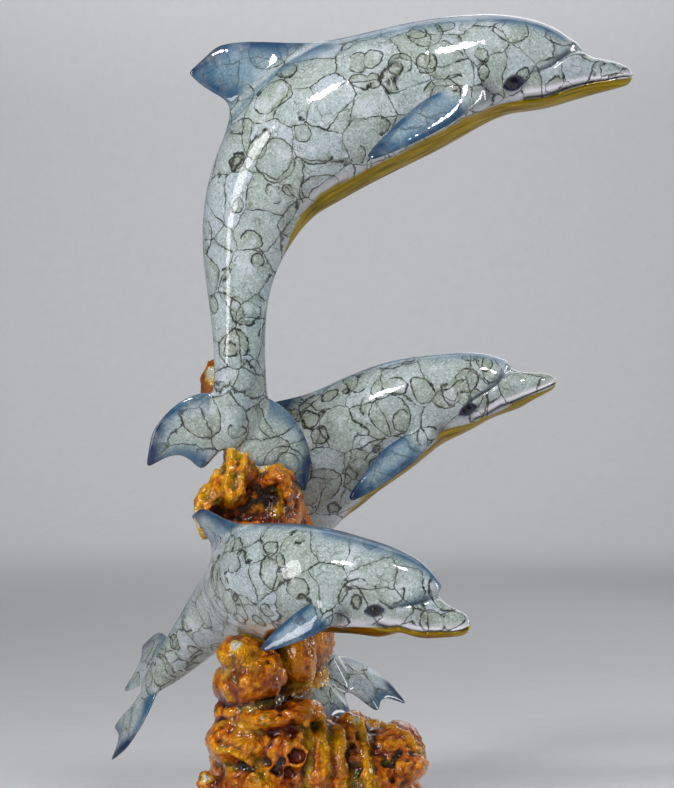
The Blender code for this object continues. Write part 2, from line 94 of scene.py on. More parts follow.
# The angles from the top, in degrees, of the rows beside the back's ridge, at the shoulder and beside the
# belly's ridge
RIDGE_ANGLE, SHOULDER_ANGLE, KEEL_ANGLE = 12, 45, 168
MOUTH_ROW = 3
RING_POINTS = 12
# Towards the tail the body sharpens above and below: where that starts, where it is full and how sharp it is
KEEL_START, KEEL_FULL, KEEL_POWER = 0.60, 0.84, 0.45
# The head is meshed more finely up to here
HEAD_END = 0.215
# What each point of a fin keeps: the place that it is held at and how stiffly, its place across the fin from
# the leading to the trailing edge, and its place from the root to the tip
FIN_VALUES = ("hold", "grip", "chord", "span")
BODY_VALUES = (0.0, 0.0, 0.5, 0.0)
# Places that differ by less than this are the same
MATCH = 1e-6

# Fins, in shares of the dolphin's length. A layer of the back's fin is its rise over the back, its leading
# and trailing places and its half thickness; of a flipper, the share of the way to its tip, its half chord
# and its half thickness; of the fluke, its reach to the side at its leading and its trailing edge, the
# places of those edges and its half thickness
DORSAL_ROOT = (0.40, 0.565)
DORSAL_RISE = 0.094
DORSAL_LAYERS = [
    (0.018, 0.420, 0.545, 0.0125),
    (0.042, 0.438, 0.555, 0.0100),
    (0.066, 0.462, 0.562, 0.0080),
    (0.086, 0.486, 0.563, 0.0062),
    (0.096, 0.506, 0.563, 0.0048),
]
DORSAL_LENS = (0.45, 0.95, 1.00, 0.75, 0.35)
PECTORAL_ROOT = (0.225, 0.290)
PECTORAL_FACE = (0.0, 0.85, 0.50)
PECTORAL_LAYERS = [
    (0.12, 0.0330, 0.0100),
    (0.34, 0.0305, 0.0080),
    (0.58, 0.0245, 0.0062),
    (0.80, 0.0155, 0.0046),
    (0.97, 0.0060, 0.0032),
]
PECTORAL_LENS = (0.55, 1.00, 0.45)
FLUKE_ROOT = (0.905, 0.992)
FLUKE_LAYERS = [
    (0.043, 0.032, 0.909, 1.036, 0.0110),
    (0.060, 0.048, 0.913, 1.024, 0.0088),
    (0.080, 0.070, 0.926, 1.010, 0.0068),
    (0.102, 0.095, 0.948, 1.018, 0.0052),
    (0.121, 0.121, 0.984, 1.044, 0.0042),
]
FLUKE_LENS = (0.50, 1.00, 0.85, 0.35)

# Each dolphin's middle line from beak to tail, in shares of its own length from the place where it holds to
# the coral, and its roll about that line, in degrees: positive turns its back towards the front. The mouth's
# row lies at an angle from the top at places along the body; rise and fall give how much higher or deeper
# than the rings the body is there; a flipper runs from its base to its tip on the straight body; fin_rise and
# fluke_size scale those fins, and fluke_fill takes the fluke's inner trailing edge further back
TOP_POSE = {
    "points": [
        (0.573, 0.000, 0.457), (0.527, 0.000, 0.460), (0.447, 0.000, 0.469), (0.380, 0.000, 0.474),
        (0.307, 0.000, 0.458), (0.234, 0.000, 0.433), (0.157, 0.000, 0.405), (0.087, 0.000, 0.360),
        (0.0335, 0.000, 0.299), (0.002, 0.000, 0.213), (-0.005, 0.000, 0.131), (-0.002, 0.000, 0.057),
        (-0.001, 0.000, 0.000), (-0.007, 0.002, -0.049), (-0.018, 0.006, -0.097),
    ],
    "roll": [(0.0, 0.0), (0.62, -4.0), (0.84, -46.0), (0.92, -80.0), (1.0, -88.0)],
    "mouth": [
        (0.0, 94), (0.016, 98), (0.041, 113), (0.063, 119), (0.099, 129), (0.127, 138), (0.160, 142),
        (0.225, 105),
    ],
    "rise": [
        (0.0, 1.1), (0.030, 1.08), (0.068, 0.88), (0.085, 0.93), (0.125, 0.99), (0.200, 1.0), (0.300, 1.03),
        (0.420, 1.02), (0.500, 1.0),
    ],
    "fall": [(0.0, 1.0), (0.120, 0.98), (0.195, 0.95), (0.300, 0.97), (0.400, 1.0)],
    "flipper": ((0.264, 0.078, -0.040), (0.428, 0.128, -0.100)),
    "fin_hold": 0.53,
    "fin_rise": 1.0,
    "fluke_size": 1.0,
    "fluke_fill": 0.0,
}
MIDDLE_POSE = {
    "points": [
        (0.494, -0.082, 0.360), (0.454, -0.071, 0.354), (0.415, -0.062, 0.348), (0.364, -0.052, 0.349),
        (0.308, -0.038, 0.340), (0.225, -0.021, 0.319), (0.155, -0.009, 0.286), (0.090, 0.000, 0.241),
        (0.030, 0.013, 0.170), (-0.006, 0.022, 0.085), (-0.008, 0.020, 0.018), (0.007, 0.005, -0.063),
        (0.036, -0.028, -0.126), (0.076, -0.055, -0.167), (0.117, -0.078, -0.217),
    ],
    "roll": [(0.0, 18.0), (0.60, 20.0), (0.84, -12.0), (0.92, -32.0), (1.0, -35.0)],
    "mouth": [
        (0.0, 98), (0.019, 102), (0.048, 110), (0.073, 112), (0.093, 114), (0.116, 120), (0.141, 126),
        (0.160, 128), (0.225, 105),
    ],
    "rise": [(0.0, 1.1), (0.050, 1.06), (0.080, 1.05), (0.125, 1.02), (0.200, 1.0)],
    "fall": [
        (0.0, 1.1), (0.050, 1.02), (0.120, 0.97), (0.195, 1.06), (0.330, 1.17), (0.480, 1.12), (0.700, 1.0),
    ],
    "flipper": ((0.264, 0.080, -0.040), (0.426, 0.132, -0.113)),
    "fin_hold": 0.53,
    "fin_rise": 1.0,
    "fluke_size": 1.12,
    "fluke_fill": 0.005,
}
LOWER_POSE = {
    "points": [
        (0.388, -0.175, -0.056), (0.344, -0.162, -0.044), (0.312, -0.153, -0.032), (0.277, -0.138, -0.004),
        (0.216, -0.114, 0.015), (0.148, -0.085, 0.024), (0.081, -0.052, 0.026), (0.026, -0.013, 0.021),
        (-0.006, 0.054, 0.004), (-0.030, 0.122, -0.021), (-0.058, 0.176, -0.043), (-0.095, 0.227, -0.072),
        (-0.135, 0.281, -0.116), (-0.173, 0.332, -0.160), (-0.212, 0.388, -0.200), (-0.262, 0.457, -0.247),
    ],
    "roll": [(0.0, 13.0), (0.36, 16.0), (0.50, 33.0), (0.74, 56.0), (0.90, 65.0), (1.0, 67.0)],
    "mouth": [
        (0.0, 105), (0.017, 115), (0.034, 124), (0.065, 129), (0.095, 137), (0.125, 137), (0.160, 134),
        (0.225, 105),
    ],
    "rise": [
        (0.0, 1.1), (0.050, 1.0), (0.080, 1.08), (0.110, 1.08), (0.160, 1.01), (0.200, 0.99), (0.600, 1.0),
        (0.750, 0.94),
    ],
    "fall": [
        (0.0, 1.6), (0.030, 1.42), (0.068, 1.28), (0.096, 1.28), (0.160, 1.30), (0.225, 1.18), (0.290, 1.06),
        (0.340, 1.0),
    ],
    "flipper": ((0.246, 0.080, -0.038), (0.362, 0.122, -0.118)),
    "fin_hold": 0.48,
    "fin_rise": 0.86,
    "fluke_size": 1.18,
    "fluke_fill": 0.045,
}

# What the enamel shows on each straight body, as angles from the top, in degrees, at places along it: the
# mouth's line, the gold belly's edge and the blue back's edge. The brow's crease is given as places at
# angles, and the eye as one place and its angle
TOP_MARKS = {
    "lips": [
        (0.0, 94), (0.016, 98), (0.040, 115), (0.062, 122), (0.098, 132), (0.112, 138), (0.127, 142),
        (0.165, 144),
    ],
    "gold": [
        (0.0, 102), (0.041, 118), (0.062, 126), (0.098, 136), (0.127, 145), (0.173, 146), (0.250, 145),
        (0.347, 151), (0.430, 154), (0.550, 153), (0.612, 157), (0.655, 166), (0.690, 178), (0.700, 184),
    ],
    "crease": [
        (0, 0.073), (26, 0.081), (53, 0.093), (74, 0.107), (92, 0.121), (105, 0.144), (112, 0.160),
    ],
    "eye": (0.178, 121),
    "back": [
        (0.06, 25), (0.113, 52), (0.194, 49), (0.326, 44), (0.435, 36), (0.50, 28), (0.62, 20), (0.9, 18),
    ],
}
MIDDLE_MARKS = {
    "lips": [
        (0.0, 96), (0.019, 102), (0.048, 113), (0.073, 116), (0.098, 119), (0.119, 130), (0.135, 134),
        (0.168, 133),
    ],
    "gold": [
        (0.0, 110), (0.048, 118), (0.080, 122), (0.119, 137), (0.158, 139), (0.197, 131), (0.227, 126),
        (0.300, 132), (0.400, 144), (0.491, 153), (0.530, 155), (0.577, 165), (0.640, 184),
    ],
    "crease": [(0, 0.074), (12, 0.079), (39, 0.090), (60, 0.102), (75, 0.116), (84, 0.134), (95, 0.155)],
    "eye": (0.163, 108),
    "back": [(0.06, 10), (0.10, 26), (0.20, 22), (0.37, 16), (0.50, 20), (0.62, 20), (0.9, 18)],
}
LOWER_MARKS = {
    "lips": [
        (0.0, 100), (0.010, 118), (0.025, 130), (0.052, 137), (0.083, 147), (0.126, 148), (0.159, 141),
        (0.180, 138),
    ],
    "gold": [
        (0.0, 103), (0.010, 120), (0.025, 132), (0.052, 139), (0.085, 149), (0.126, 150), (0.158, 145),
        (0.214, 146), (0.260, 142), (0.450, 150), (0.600, 156), (0.660, 164), (0.700, 184),
    ],
    "crease": [(0, 0.072), (18, 0.076), (55, 0.086), (77, 0.096), (101, 0.117), (110, 0.137)],
    "eye": (0.163, 118),
    "back": [
        (0.06, 14), (0.104, 24), (0.147, 34), (0.228, 36), (0.317, 28), (0.394, 22), (0.50, 24), (0.9, 18),
    ],
}
# The eye's ball, its lids and the dark patch round them: half lengths and half heights in shares of the
# dolphin's length, and how far they lean down behind
EYE_BALL = (0.0088, 0.0078)
EYE_LIDS = (0.0200, 0.0110)
EYE_PATCH = (0.0240, 0.0155)
EYE_LEAN = 0.18
# How far the skin round the eye is sunk, and how far its ball and its lids' edge stand out
SOCKET_DEPTH, BALL_RISE, LID_RISE = 1.3 * MM, 2.6 * MM, 1.1 * MM
# The brow's crease, its depth and width, and the swelling behind it, its height, width and distance behind
CREASE_DEPTH, CREASE_WIDTH = 2.2 * MM, 2.4 * MM
BROW_RISE, BROW_WIDTH, BROW_PLACE = 1.0 * MM, 4.0 * MM, 6.0 * MM
# The mouth's half width at the beak's tip and how much it grows towards the corner, the places between which
# it grows, and those between which it ends
GAPE, GAPE_GROWTH = 0.6 * MM, 1.1 * MM
GAPE_PLACES = (0.02, 0.13)
MOUTH_END = (0.150, 0.168)
# The places between which the carved belly starts and ends, and how many degrees below the gold's edge its
# folds lie
BELLY_START, BELLY_END = (0.16, 0.24), (0.58, 0.68)
BELLY_FOLDS = (8.0, 15.0, 24.0)
# How far the gold's edge stands out, how deep the folds are, and how wide both are
EDGE_RISE, FOLD_DEPTH, FOLD_WIDTH = 0.6 * MM, 1.1 * MM, 1.5 * MM
# The hollow at the front of a flipper's root: its place, its angle from the top and how far round it reaches,
# and its depth
FLIPPER_HOLLOW = (0.226, 124, 9.0)
FLIPPER_HOLLOW_DEPTH = 1.6 * MM

# Where the dolphins hold to the coral, in shares of the coral's height
TOP_HOLD = (-0.142, 0.000, 0.947)
MIDDLE_HOLD = (-0.055, 0.215, 0.560)
LOWER_HOLD = (-0.098, -0.140, 0.560)

# The coral's swellings and its hollows, in shares of its height: middle x, y, z and half sizes x, y, z
CORAL_FOOT = [
    (0.000, 0.030, 0.010, 0.225, 0.205, 0.080), (0.130, 0.130, 0.090, 0.105, 0.105, 0.085),
    (-0.136, 0.140, 0.110, 0.100, 0.100, 0.095), (-0.180, -0.090, 0.060, 0.090, 0.090, 0.065),
    (0.030, -0.150, 0.055, 0.115, 0.090, 0.065), (0.190, -0.090, 0.050, 0.075, 0.080, 0.060),
]
CORAL_TRUNK = [
    (-0.085, 0.060, 0.200, 0.120, 0.130, 0.170), (-0.085, 0.040, 0.350, 0.085, 0.110, 0.090),
    (-0.030, 0.110, 0.470, 0.080, 0.100, 0.130), (-0.070, 0.110, 0.610, 0.080, 0.085, 0.130),
    (-0.115, 0.065, 0.715, 0.070, 0.070, 0.100), (-0.180, 0.100, 0.952, 0.049, 0.050, 0.062),
    (-0.140, 0.095, 0.840, 0.046, 0.050, 0.110), (-0.030, 0.150, 0.500, 0.075, 0.080, 0.100),
    (-0.110, -0.080, 0.385, 0.060, 0.075, 0.058), (-0.050, 0.130, 0.300, 0.095, 0.090, 0.140),
    (-0.050, 0.215, 0.390, 0.070, 0.060, 0.090), (0.060, 0.190, 0.180, 0.110, 0.100, 0.100),
    (-0.030, -0.020, 0.415, 0.042, 0.060, 0.070),
]
CORAL_HEAD = [
    (-0.143, 0.020, 0.780, 0.036, 0.050, 0.042), (-0.164, 0.010, 0.745, 0.040, 0.050, 0.045),
    (-0.202, 0.020, 0.700, 0.035, 0.050, 0.056), (-0.068, 0.020, 0.720, 0.036, 0.060, 0.080),
    (-0.045, 0.050, 0.710, 0.030, 0.040, 0.050), (-0.115, 0.030, 0.640, 0.075, 0.060, 0.060),
]
CORAL_FRONT = [
    (-0.118, -0.045, 0.358, 0.068, 0.080, 0.056), (-0.176, -0.020, 0.360, 0.024, 0.050, 0.036),
    (-0.136, -0.075, 0.424, 0.050, 0.060, 0.042),
    (-0.085, -0.090, 0.302, 0.055, 0.065, 0.022), (-0.020, -0.080, 0.312, 0.045, 0.070, 0.024),
    (-0.140, -0.030, 0.300, 0.058, 0.070, 0.040), (-0.135, -0.050, 0.248, 0.076, 0.085, 0.054),
    (-0.100, -0.060, 0.150, 0.090, 0.085, 0.080), (-0.024, -0.070, 0.205, 0.020, 0.052, 0.100),
    (0.014, -0.074, 0.190, 0.020, 0.052, 0.090), (0.052, -0.062, 0.188, 0.019, 0.052, 0.086),
    (0.095, -0.010, 0.195, 0.062, 0.085, 0.072), (0.162, 0.000, 0.224, 0.064, 0.080, 0.056),
    (0.180, -0.020, 0.200, 0.052, 0.075, 0.042), (0.120, -0.050, 0.150, 0.070, 0.070, 0.080),
    (-0.205, -0.060, 0.165, 0.022, 0.026, 0.026), (0.080, -0.010, 0.268, 0.035, 0.060, 0.036),
]
# Round the foot's rim stand more lumps: how many, the ring that they stand on, as its middle and its half
# width and depth, and their half widths and heights, taken in turn
RIM_LUMPS = 11
RIM_RING = (0.000, 0.030, 0.215, 0.190)
RIM_SIZES = [(0.072, 0.062), (0.058, 0.078), (0.066, 0.050)]
# The upper bowl is filled between its lumps and then scooped out
CORAL_BOWL = [(-0.112, 0.045, 0.735, 0.060, 0.050, 0.085), (-0.150, 0.030, 0.750, 0.026, 0.045, 0.090)]
# Lumps behind the front's flutes, which close the gaps between them
CORAL_WALL = [(0.010, -0.045, 0.195, 0.078, 0.060, 0.098), (-0.058, -0.072, 0.238, 0.048, 0.055, 0.062)]
CORAL_HOLLOWS = [
    (-0.184, -0.040, 0.680, 0.026, 0.050, 0.040), (-0.088, -0.052, 0.722, 0.042, 0.052, 0.066),
    (-0.016, -0.105, 0.352, 0.052, 0.070, 0.022), (-0.060, -0.150, 0.336, 0.045, 0.050, 0.016),
]
# The coral's cups: the photograph's pixel of each one's middle, and its outer radius in millimetres
CORAL_CUPS = [
    ((296, 755), 10.5), ((276, 772), 7.5), ((254, 781), 6.5), ((353, 747), 6.5), ((236, 742), 4.0),
    ((390, 745), 5.0), ((330, 772), 4.5), ((312, 779), 4.0), ((404, 768), 4.5),
]
# A cup's ring and the thickness of that ring, in shares of the cup's radius, how far the cup turns to the
# front, and how far it stands out
CUP_RING, CUP_THICKNESS = 0.74, 0.27
CUP_TURN = 1.6
CUP_RISE = 1.6 * MM
# A rim is a row of lumps: how far apart they lie and how far they stand out, in shares of the rim's radius,
# and by what share and how fast their size comes and goes along it
RIM_STEP, RIM_LIFT = 1.2, 0.2
RIM_SWELL, RIM_BEAT = 0.12, 0.9
# The coral's raised rims and flutes: pixels that each runs through, and its radius in millimetres
CORAL_RIMS = [
    ([(231, 713), (247, 710), (262, 706), (281, 699), (300, 690), (314, 680), (324, 670)], 3.2),
    ([(221, 468), (209, 484), (199, 500), (196, 516), (201, 531), (209, 543), (217, 549)], 2.8),
    ([(233, 452), (229, 468), (226, 484), (231, 499)], 4.2),
    ([(246, 452), (243, 472), (240, 492)], 3.2),
    ([(306, 722), (309, 750), (310, 786)], 3.4),
    ([(322, 716), (325, 750), (326, 786)], 3.6),
    ([(340, 730), (341, 750), (344, 786)], 3.4),
    ([(362, 724), (366, 750), (370, 786)], 3.6),
    ([(222, 655), (228, 668), (224, 684), (230, 698)], 3.4),
    ([(350, 719), (372, 722), (392, 727), (408, 737), (419, 750)], 3.0),
    ([(214, 726), (234, 722), (256, 727), (268, 740)], 2.2),
    ([(212, 748), (232, 752), (250, 762)], 2.2),
]
# Rows of beads in the coral's upper hollow and on its boulders: first pixel, last pixel, how many and
# their radius in millimetres
CORAL_BEADS = [
    ((271, 482), (272, 532), 7, 2.5), ((281, 480), (283, 534), 8, 2.7), ((291, 484), (293, 530), 6, 2.4),
    ((262, 500), (263, 520), 3, 2.2), ((236, 664), (278, 668), 6, 2.8), ((232, 680), (268, 688), 5, 2.6),
    ((370, 738), (414, 752), 6, 3.2), ((360, 756), (418, 766), 7, 3.2), ((352, 774), (410, 782), 6, 3.0),
]
# Where enamel has run onto the coral: pixel and radius in millimetres
CORAL_RUNS = [((231, 447), 8.0), ((236, 646), 9.0), ((206, 777), 8.5), ((357, 721), 7.0), ((211, 374), 13.0)]
# The coral's relief: the sizes of its swells, lumps, beads, ripples and grain, and how many millimetres they
# rise; beads stand in patches, and ripples are drawn out upwards between them
SWELL_SIZE, SWELL_RISE = 24 * MM, 2.4
LUMP_SIZE, LUMP_RISE = 9 * MM, 1.6
BEAD_SIZE, BEAD_RISE = 6.0 * MM, 1.8
RIPPLE_SIZE, RIPPLE_RISE, RIPPLE_STRETCH = 9 * MM, 1.8, 2.6
GRAIN_SIZE, GRAIN_RISE = 3.4 * MM, 0.7
PATCH_SIZE = 30 * MM
# The relief is sunk by this, so that it doesn't swell the coral, and it grows to its full size over this height
# above the floor
RELIEF_SUNK, RELIEF_START = 1.2 * MM, 6 * MM
# From the bottom of a cavity to the top of a ridge
RIDGE_RISE = 2.6 * MM
# Enamel has run onto the coral up to this far from a dolphin
SPILL_REACH = 6 * MM

# The enamel's net of cracks: how wide a cell is, the size, reach and detail of the waves that bend its edges,
# the least and the most that a crack is broad, and how wide a cell of the finer net of hair cracks is
CELL = 30 * MM
CELL_WANDER = [(30 * MM, 8.0 * MM, 1.0), (6 * MM, 1.9 * MM, 2.0), (1.8 * MM, 0.55 * MM, 1.0)]
CRACK_BREADTHS = (0.50 * MM, 1.35 * MM)
HAIR_CELL = 6 * MM
# Rounded pools over the net, large and then small: how far apart they lie, their radius in shares of that,
# the pattern's shift and the share of them that is missing
POOLS = [(31 * MM, 0.56, (0.413, 0.171, 0.295), 0.38), (17 * MM, 0.48, (0.127, 0.633, 0.081), 0.74)]
# The gilding's burnished strokes: how long and how broad they are
STROKE_LENGTH, STROKE_BREADTH = 40 * MM, 3.2 * MM

# The backdrop paper, in metres: its width, how far it comes forward, where its curve starts, the curve's
# radius, in how many steps, and the paper's top
PAPER_WIDTH, PAPER_FRONT = 16.0, -8.0
CURVE_START, CURVE_RADIUS, CURVE_STEPS = 4.2, 1.2, 16
PAPER_TOP = 6.0
# Real paper fibres are too fine to show, so the paper's faint mottling is drawn this coarse
PAPER_MOTTLING = 25 * MM
# The lights: name, place, the place that it points at, width and height in metres, and power in watts
LIGHTS = [
    ("key light", (-0.75, -1.7, 1.9), (0.0, 0.0, 0.40), (0.35, 0.35), 23.0),
    ("left strip", (-1.45, -1.30, 0.75), (-0.05, 0.0, 0.42), (0.50, 1.3), 14.0),
    ("front overhead", (0.30, -1.0, 1.8), (0.05, -0.05, 0.35), (0.30, 0.30), 10.0),
    ("right strip", (1.6, 0.5, 0.75), (0.05, 0.0, 0.40), (0.30, 1.2), 9.0),
    ("back rim", (0.3, 1.1, 1.8), (0.0, 0.0, 0.45), (1.8, 0.6), 3.0),
    ("back fill", (0.9, 2.2, 1.5), (0.0, 0.0, 0.35), (1.6, 1.6), 7.0),
    ("backdrop light", (0.0, 3.9, 3.0), (0.0, 5.4, 1.5), (4.0, 0.8), 50.0),
]
AIR_STRENGTH = 0.20


def deselect_all():
    """Leaves nothing selected."""
    bpy.ops.object.select_all(action="DESELECT")


def select_only(*pieces):
    """Selects these pieces alone and makes the first of them the active one."""
    deselect_all()
    for piece in pieces:
        piece.select_set(True)
    bpy.context.view_layer.objects.active = pieces[0]


def apply_modifier(piece, name, kind, **settings):
    """Gives a piece a modifier with its settings and applies it."""
    select_only(piece)
    modifier = piece.modifiers.new(name, kind)
    for setting, value in settings.items():
        setattr(modifier, setting, value)
    bpy.ops.object.modifier_apply(modifier=modifier.name)


def smooth_share(value, low, high):
    """Goes smoothly from 0 at low to 1 at high; takes a number or an array."""
    share = np.clip((value - low) / (high - low), 0.0, 1.0)
    return share * share * (3.0 - 2.0 * share)


def read_between(keys, place):
    """Reads a value from (place, value) keys, easing between neighbours."""
    for (low, before), (high, after) in zip(keys, keys[1:]):
        if place <= high:
            return before + (after - before) * float(smooth_share(place, low, high))
    return keys[-1][1]


def read_keys(keys, places):
    """Reads values for many places from (place, value) keys, straight between neighbours."""
    return np.interp(places, [key[0] for key in keys], [key[1] for key in keys])


# The dolphins' shape


def ring_angle(index, mouth_angle):
    """Gives a ring point's angle in degrees from the top, positive towards the dolphin's right side."""
    over_mouth = (SHOULDER_ANGLE + mouth_angle) / 2
    under_mouth = (mouth_angle + KEEL_ANGLE) / 2
    half_ring = [RIDGE_ANGLE, SHOULDER_ANGLE, over_mouth, mouth_angle, under_mouth, KEEL_ANGLE]
    if index < len(half_ring):
        return half_ring[index]
    return -half_ring[RING_POINTS - 1 - index]


def ring_point(pose, ring, index):
    """Places one point of a ring on the straight body: along, to the right, up."""
    along, rise, fall, half_width = ring
    angle = math.radians(ring_angle(index, read_between(pose["mouth"], along)))
    if math.cos(angle) > 0:
        height = rise * read_between(pose["rise"], along)
    else:
        height = fall * read_between(pose["fall"], along)
    keel = 1.0 + KEEL_POWER * float(smooth_share(along, KEEL_START, KEEL_FULL))
    width = math.copysign(abs(math.sin(angle)) ** keel, math.sin(angle)) * half_width
    # Rounding off draws a ring of points inwards, so the points stand a little outside the skin
    fullness = 3.0 / (2.0 + math.cos(2.0 * math.pi / RING_POINTS))
    return Vector((along, width * fullness, math.cos(angle) * height * fullness))


def place_selected(cage, place):
    """Moves each selected point to where place(row, ring) says and keeps the fin values that it gives."""
    shape = bmesh.from_edit_mesh(cage.data)
    row = shape.verts.layers.int["row"]
    ring = shape.verts.layers.int["ring"]
    kept = [shape.verts.layers.float[name] for name in FIN_VALUES]
    for point in shape.verts:
        if point.select:
            point.co, point[ring], values = place(point[row], point[ring])
            for layer, value in zip(kept, values):
                point[layer] = value
    bmesh.update_edit_mesh(cage.data)


def dolphin_cage(name, pose):
    """Extrudes a straight dolphin, ring after ring from the beak's tip, and then its fins."""
    deselect_all()
    bpy.ops.mesh.primitive_circle_add(vertices=RING_POINTS, radius=RINGS[0][3], fill_type="NGON")
    cage = bpy.context.object
    cage.name = name
    for layer in ("row", "ring"):
        cage.data.attributes.new(layer, "INT", "POINT")
    for layer in FIN_VALUES:
        cage.data.attributes.new(layer, "FLOAT", "POINT")
    cage.data.attributes["row"].data.foreach_set("value", range(RING_POINTS))
    bpy.ops.object.mode_set(mode="EDIT")
    bpy.ops.mesh.select_mode(type="FACE")
    bpy.ops.mesh.select_all(action="SELECT")
    for number, ring in enumerate(RINGS):
        if number > 0:
            bpy.ops.mesh.extrude_region_move(TRANSFORM_OT_translate={"value": (ring[0], 0, 0)})
        place_selected(cage, lambda row, _, n=number, r=ring: (ring_point(pose, r, row), n, BODY_VALUES))
    grow_dorsal_fin(cage, pose)
    for side in (1, -1):
        grow_pectoral_fin(cage, pose, side)
        grow_fluke(cage, pose, side)
    bpy.ops.mesh.select_all(action="SELECT")
    bpy.ops.mesh.normals_make_consistent(inside=False)
    bpy.ops.object.mode_set(mode="OBJECT")
    return cage


def grow_fin(cage, rows, root, count, place):
    """Extrudes the strip between two rows count times; place(layer, step, row, ring) gives each point."""
    bpy.ops.mesh.select_all(action="DESELECT")
    numbers = [n for n, ring in enumerate(RINGS) if root[0] - MATCH < ring[0] < root[1] + MATCH]
    shape = bmesh.from_edit_mesh(cage.data)
    row = shape.verts.layers.int["row"]
    ring = shape.verts.layers.int["ring"]
    for face in shape.faces:
        face.select_set(all(point[row] in rows and point[ring] in numbers for point in face.verts))
    bmesh.update_edit_mesh(cage.data)
    for layer in range(count):
        bpy.ops.mesh.extrude_region_move()
        place_selected(cage, lambda r, n, at=layer: place(at, numbers.index(n), r, n))


def grow_dorsal_fin(cage, pose):
    """Raises the hooked fin on the back."""
    def place(layer, step, row, number):
        rise, lead, trail, half_thickness = DORSAL_LAYERS[layer]
        along = lead + (trail - lead) * step / (len(DORSAL_LENS) - 1)
        side = 1 if row == 0 else -1
        up = DORSAL_RISE + rise * pose["fin_rise"]
        point = Vector((along, side * half_thickness * DORSAL_LENS[step], up))
        chord = step / (len(DORSAL_LENS) - 1)
        span = (layer + 1) / len(DORSAL_LAYERS)
        return point, number, (pose["fin_hold"], min(1.0, (layer + 1) / 2), chord, span)
    grow_fin(cage, {0, RING_POINTS - 1}, DORSAL_ROOT, len(DORSAL_LAYERS), place)


def grow_pectoral_fin(cage, pose, side):
    """Grows one flipper, swept back, down and out."""
    base, tip = (Vector(end) for end in pose["flipper"])
    outwards = (tip - base).normalized()
    face = Vector(PECTORAL_FACE)
    face = (face - outwards * face.dot(outwards)).normalized()
    forwards = face.cross(outwards)
    upper_row = MOUTH_ROW if side > 0 else RING_POINTS - 1 - MOUTH_ROW

    def place(layer, step, row, number):
        share, half_chord, half_thickness = PECTORAL_LAYERS[layer]
        outward = 1 if row == upper_row else -1
        point = base.lerp(tip, share) + forwards * half_chord * (1 - step)
        point += face * half_thickness * PECTORAL_LENS[step] * outward
        point.y *= side
        chord = step / (len(PECTORAL_LENS) - 1)
        span = (layer + 1) / len(PECTORAL_LAYERS)
        return point, number, (sum(PECTORAL_ROOT) / 2, min(1.0, (layer + 1) / 2), chord, span)
    grow_fin(cage, {upper_row, upper_row + side}, PECTORAL_ROOT, len(PECTORAL_LAYERS), place)


def grow_fluke(cage, pose, side):
    """Grows one lobe of the tail fluke."""
    upper_row = MOUTH_ROW - 1 if side > 0 else RING_POINTS - MOUTH_ROW

    def place(layer, step, row, number):
        lead_reach, trail_reach, lead, trail, half_thickness = FLUKE_LAYERS[layer]
        share = step / (len(FLUKE_LENS) - 1)
        trail += pose["fluke_fill"] * (1 - layer / (len(FLUKE_LAYERS) - 1))
        back = (lead + (trail - lead) * share - FLUKE_ROOT[0]) * pose["fluke_size"]
        out = (lead_reach + (trail_reach - lead_reach) * share) * pose["fluke_size"]
        upward = 1 if row == upper_row else -1
        point = Vector((FLUKE_ROOT[0] + back, side * out, upward * half_thickness * FLUKE_LENS[step]))
        span = (layer + 1) / len(FLUKE_LAYERS)
        return point, number, (sum(FLUKE_ROOT) / 2, min(1.0, (layer + 1) / 3), share, span)
    grow_fin(cage, {upper_row, upper_row + side}, FLUKE_ROOT, len(FLUKE_LAYERS), place)


def middle_line(points, steps=16):
    """Runs a smooth curve through the points; gives its places and how far along each one lies."""
    ends = [points[0] * 2 - points[1]] + points + [points[-1] * 2 - points[-2]]
    places = []
    for before, start, stop, after in zip(ends, ends[1:], ends[2:], ends[3:]):
        for step in range(steps):
            t = step / steps
            bend = (before * -1 + start * 3 - stop * 3 + after) * t ** 3
            bend += (before * 2 - start * 5 + stop * 4 - after) * t ** 2
            bend += (stop - before) * t + start * 2
            places.append(bend / 2)
    places.append(points[-1])
    reached = [0.0]
    for last, place in zip(places, places[1:]):
        reached.append(reached[-1] + (place - last).length)
    return places, [value / reached[-1] for value in reached], reached[-1]


class Spine:
    """A dolphin's middle line in the statue, with the directions across it."""

    def __init__(self, pose, length, hold):
        points = [Vector(point) for point in pose["points"]]
        places, self.shares, reach = middle_line(points)
        self.length = length
        self.places = [hold + place * (length / reach) for place in places]
        self.roll = pose["roll"]
        self.tangents = []
        for number in range(len(places)):
            back = places[min(number + 1, len(places) - 1)] - places[max(number - 1, 0)]
            self.tangents.append(back.normalized())
        across = Vector((0.0, -1.0, 0.0))
        self.rights = []
        for tangent in self.tangents:
            across = (across - tangent * across.dot(tangent)).normalized()
            self.rights.append(across)

    def frame(self, share):
        """Gives the place, the backward, right and up directions at a share of the length."""
        number = len(self.shares) - 2
        while number > 0 and self.shares[number] > share:
            number -= 1
        low, high = self.shares[number], self.shares[number + 1]
        part = (share - low) / (high - low)
        place = self.places[number].lerp(self.places[number + 1], part)
        inside = min(max(part, 0.0), 1.0)
        back = self.tangents[number].lerp(self.tangents[number + 1], inside).normalized()
        right = self.rights[number].lerp(self.rights[number + 1], inside).normalized()
        right = Matrix.Rotation(-math.radians(read_between(self.roll, share)), 3, back) @ right
        return place, back, right, right.cross(back) * -1

    def bend(self, point):
        """Takes a point of the straight body to the posed one."""
        place, _, right, up = self.frame(point.x)
        return place + (right * point.y + up * point.z) * self.length

    def carry(self, point, hold):
        """Takes a fin's point to the statue on the stiff frame at hold."""
        place, back, right, up = self.frame(hold)
        return place + (back * (point.x - hold) + right * point.y + up * point.z) * self.length


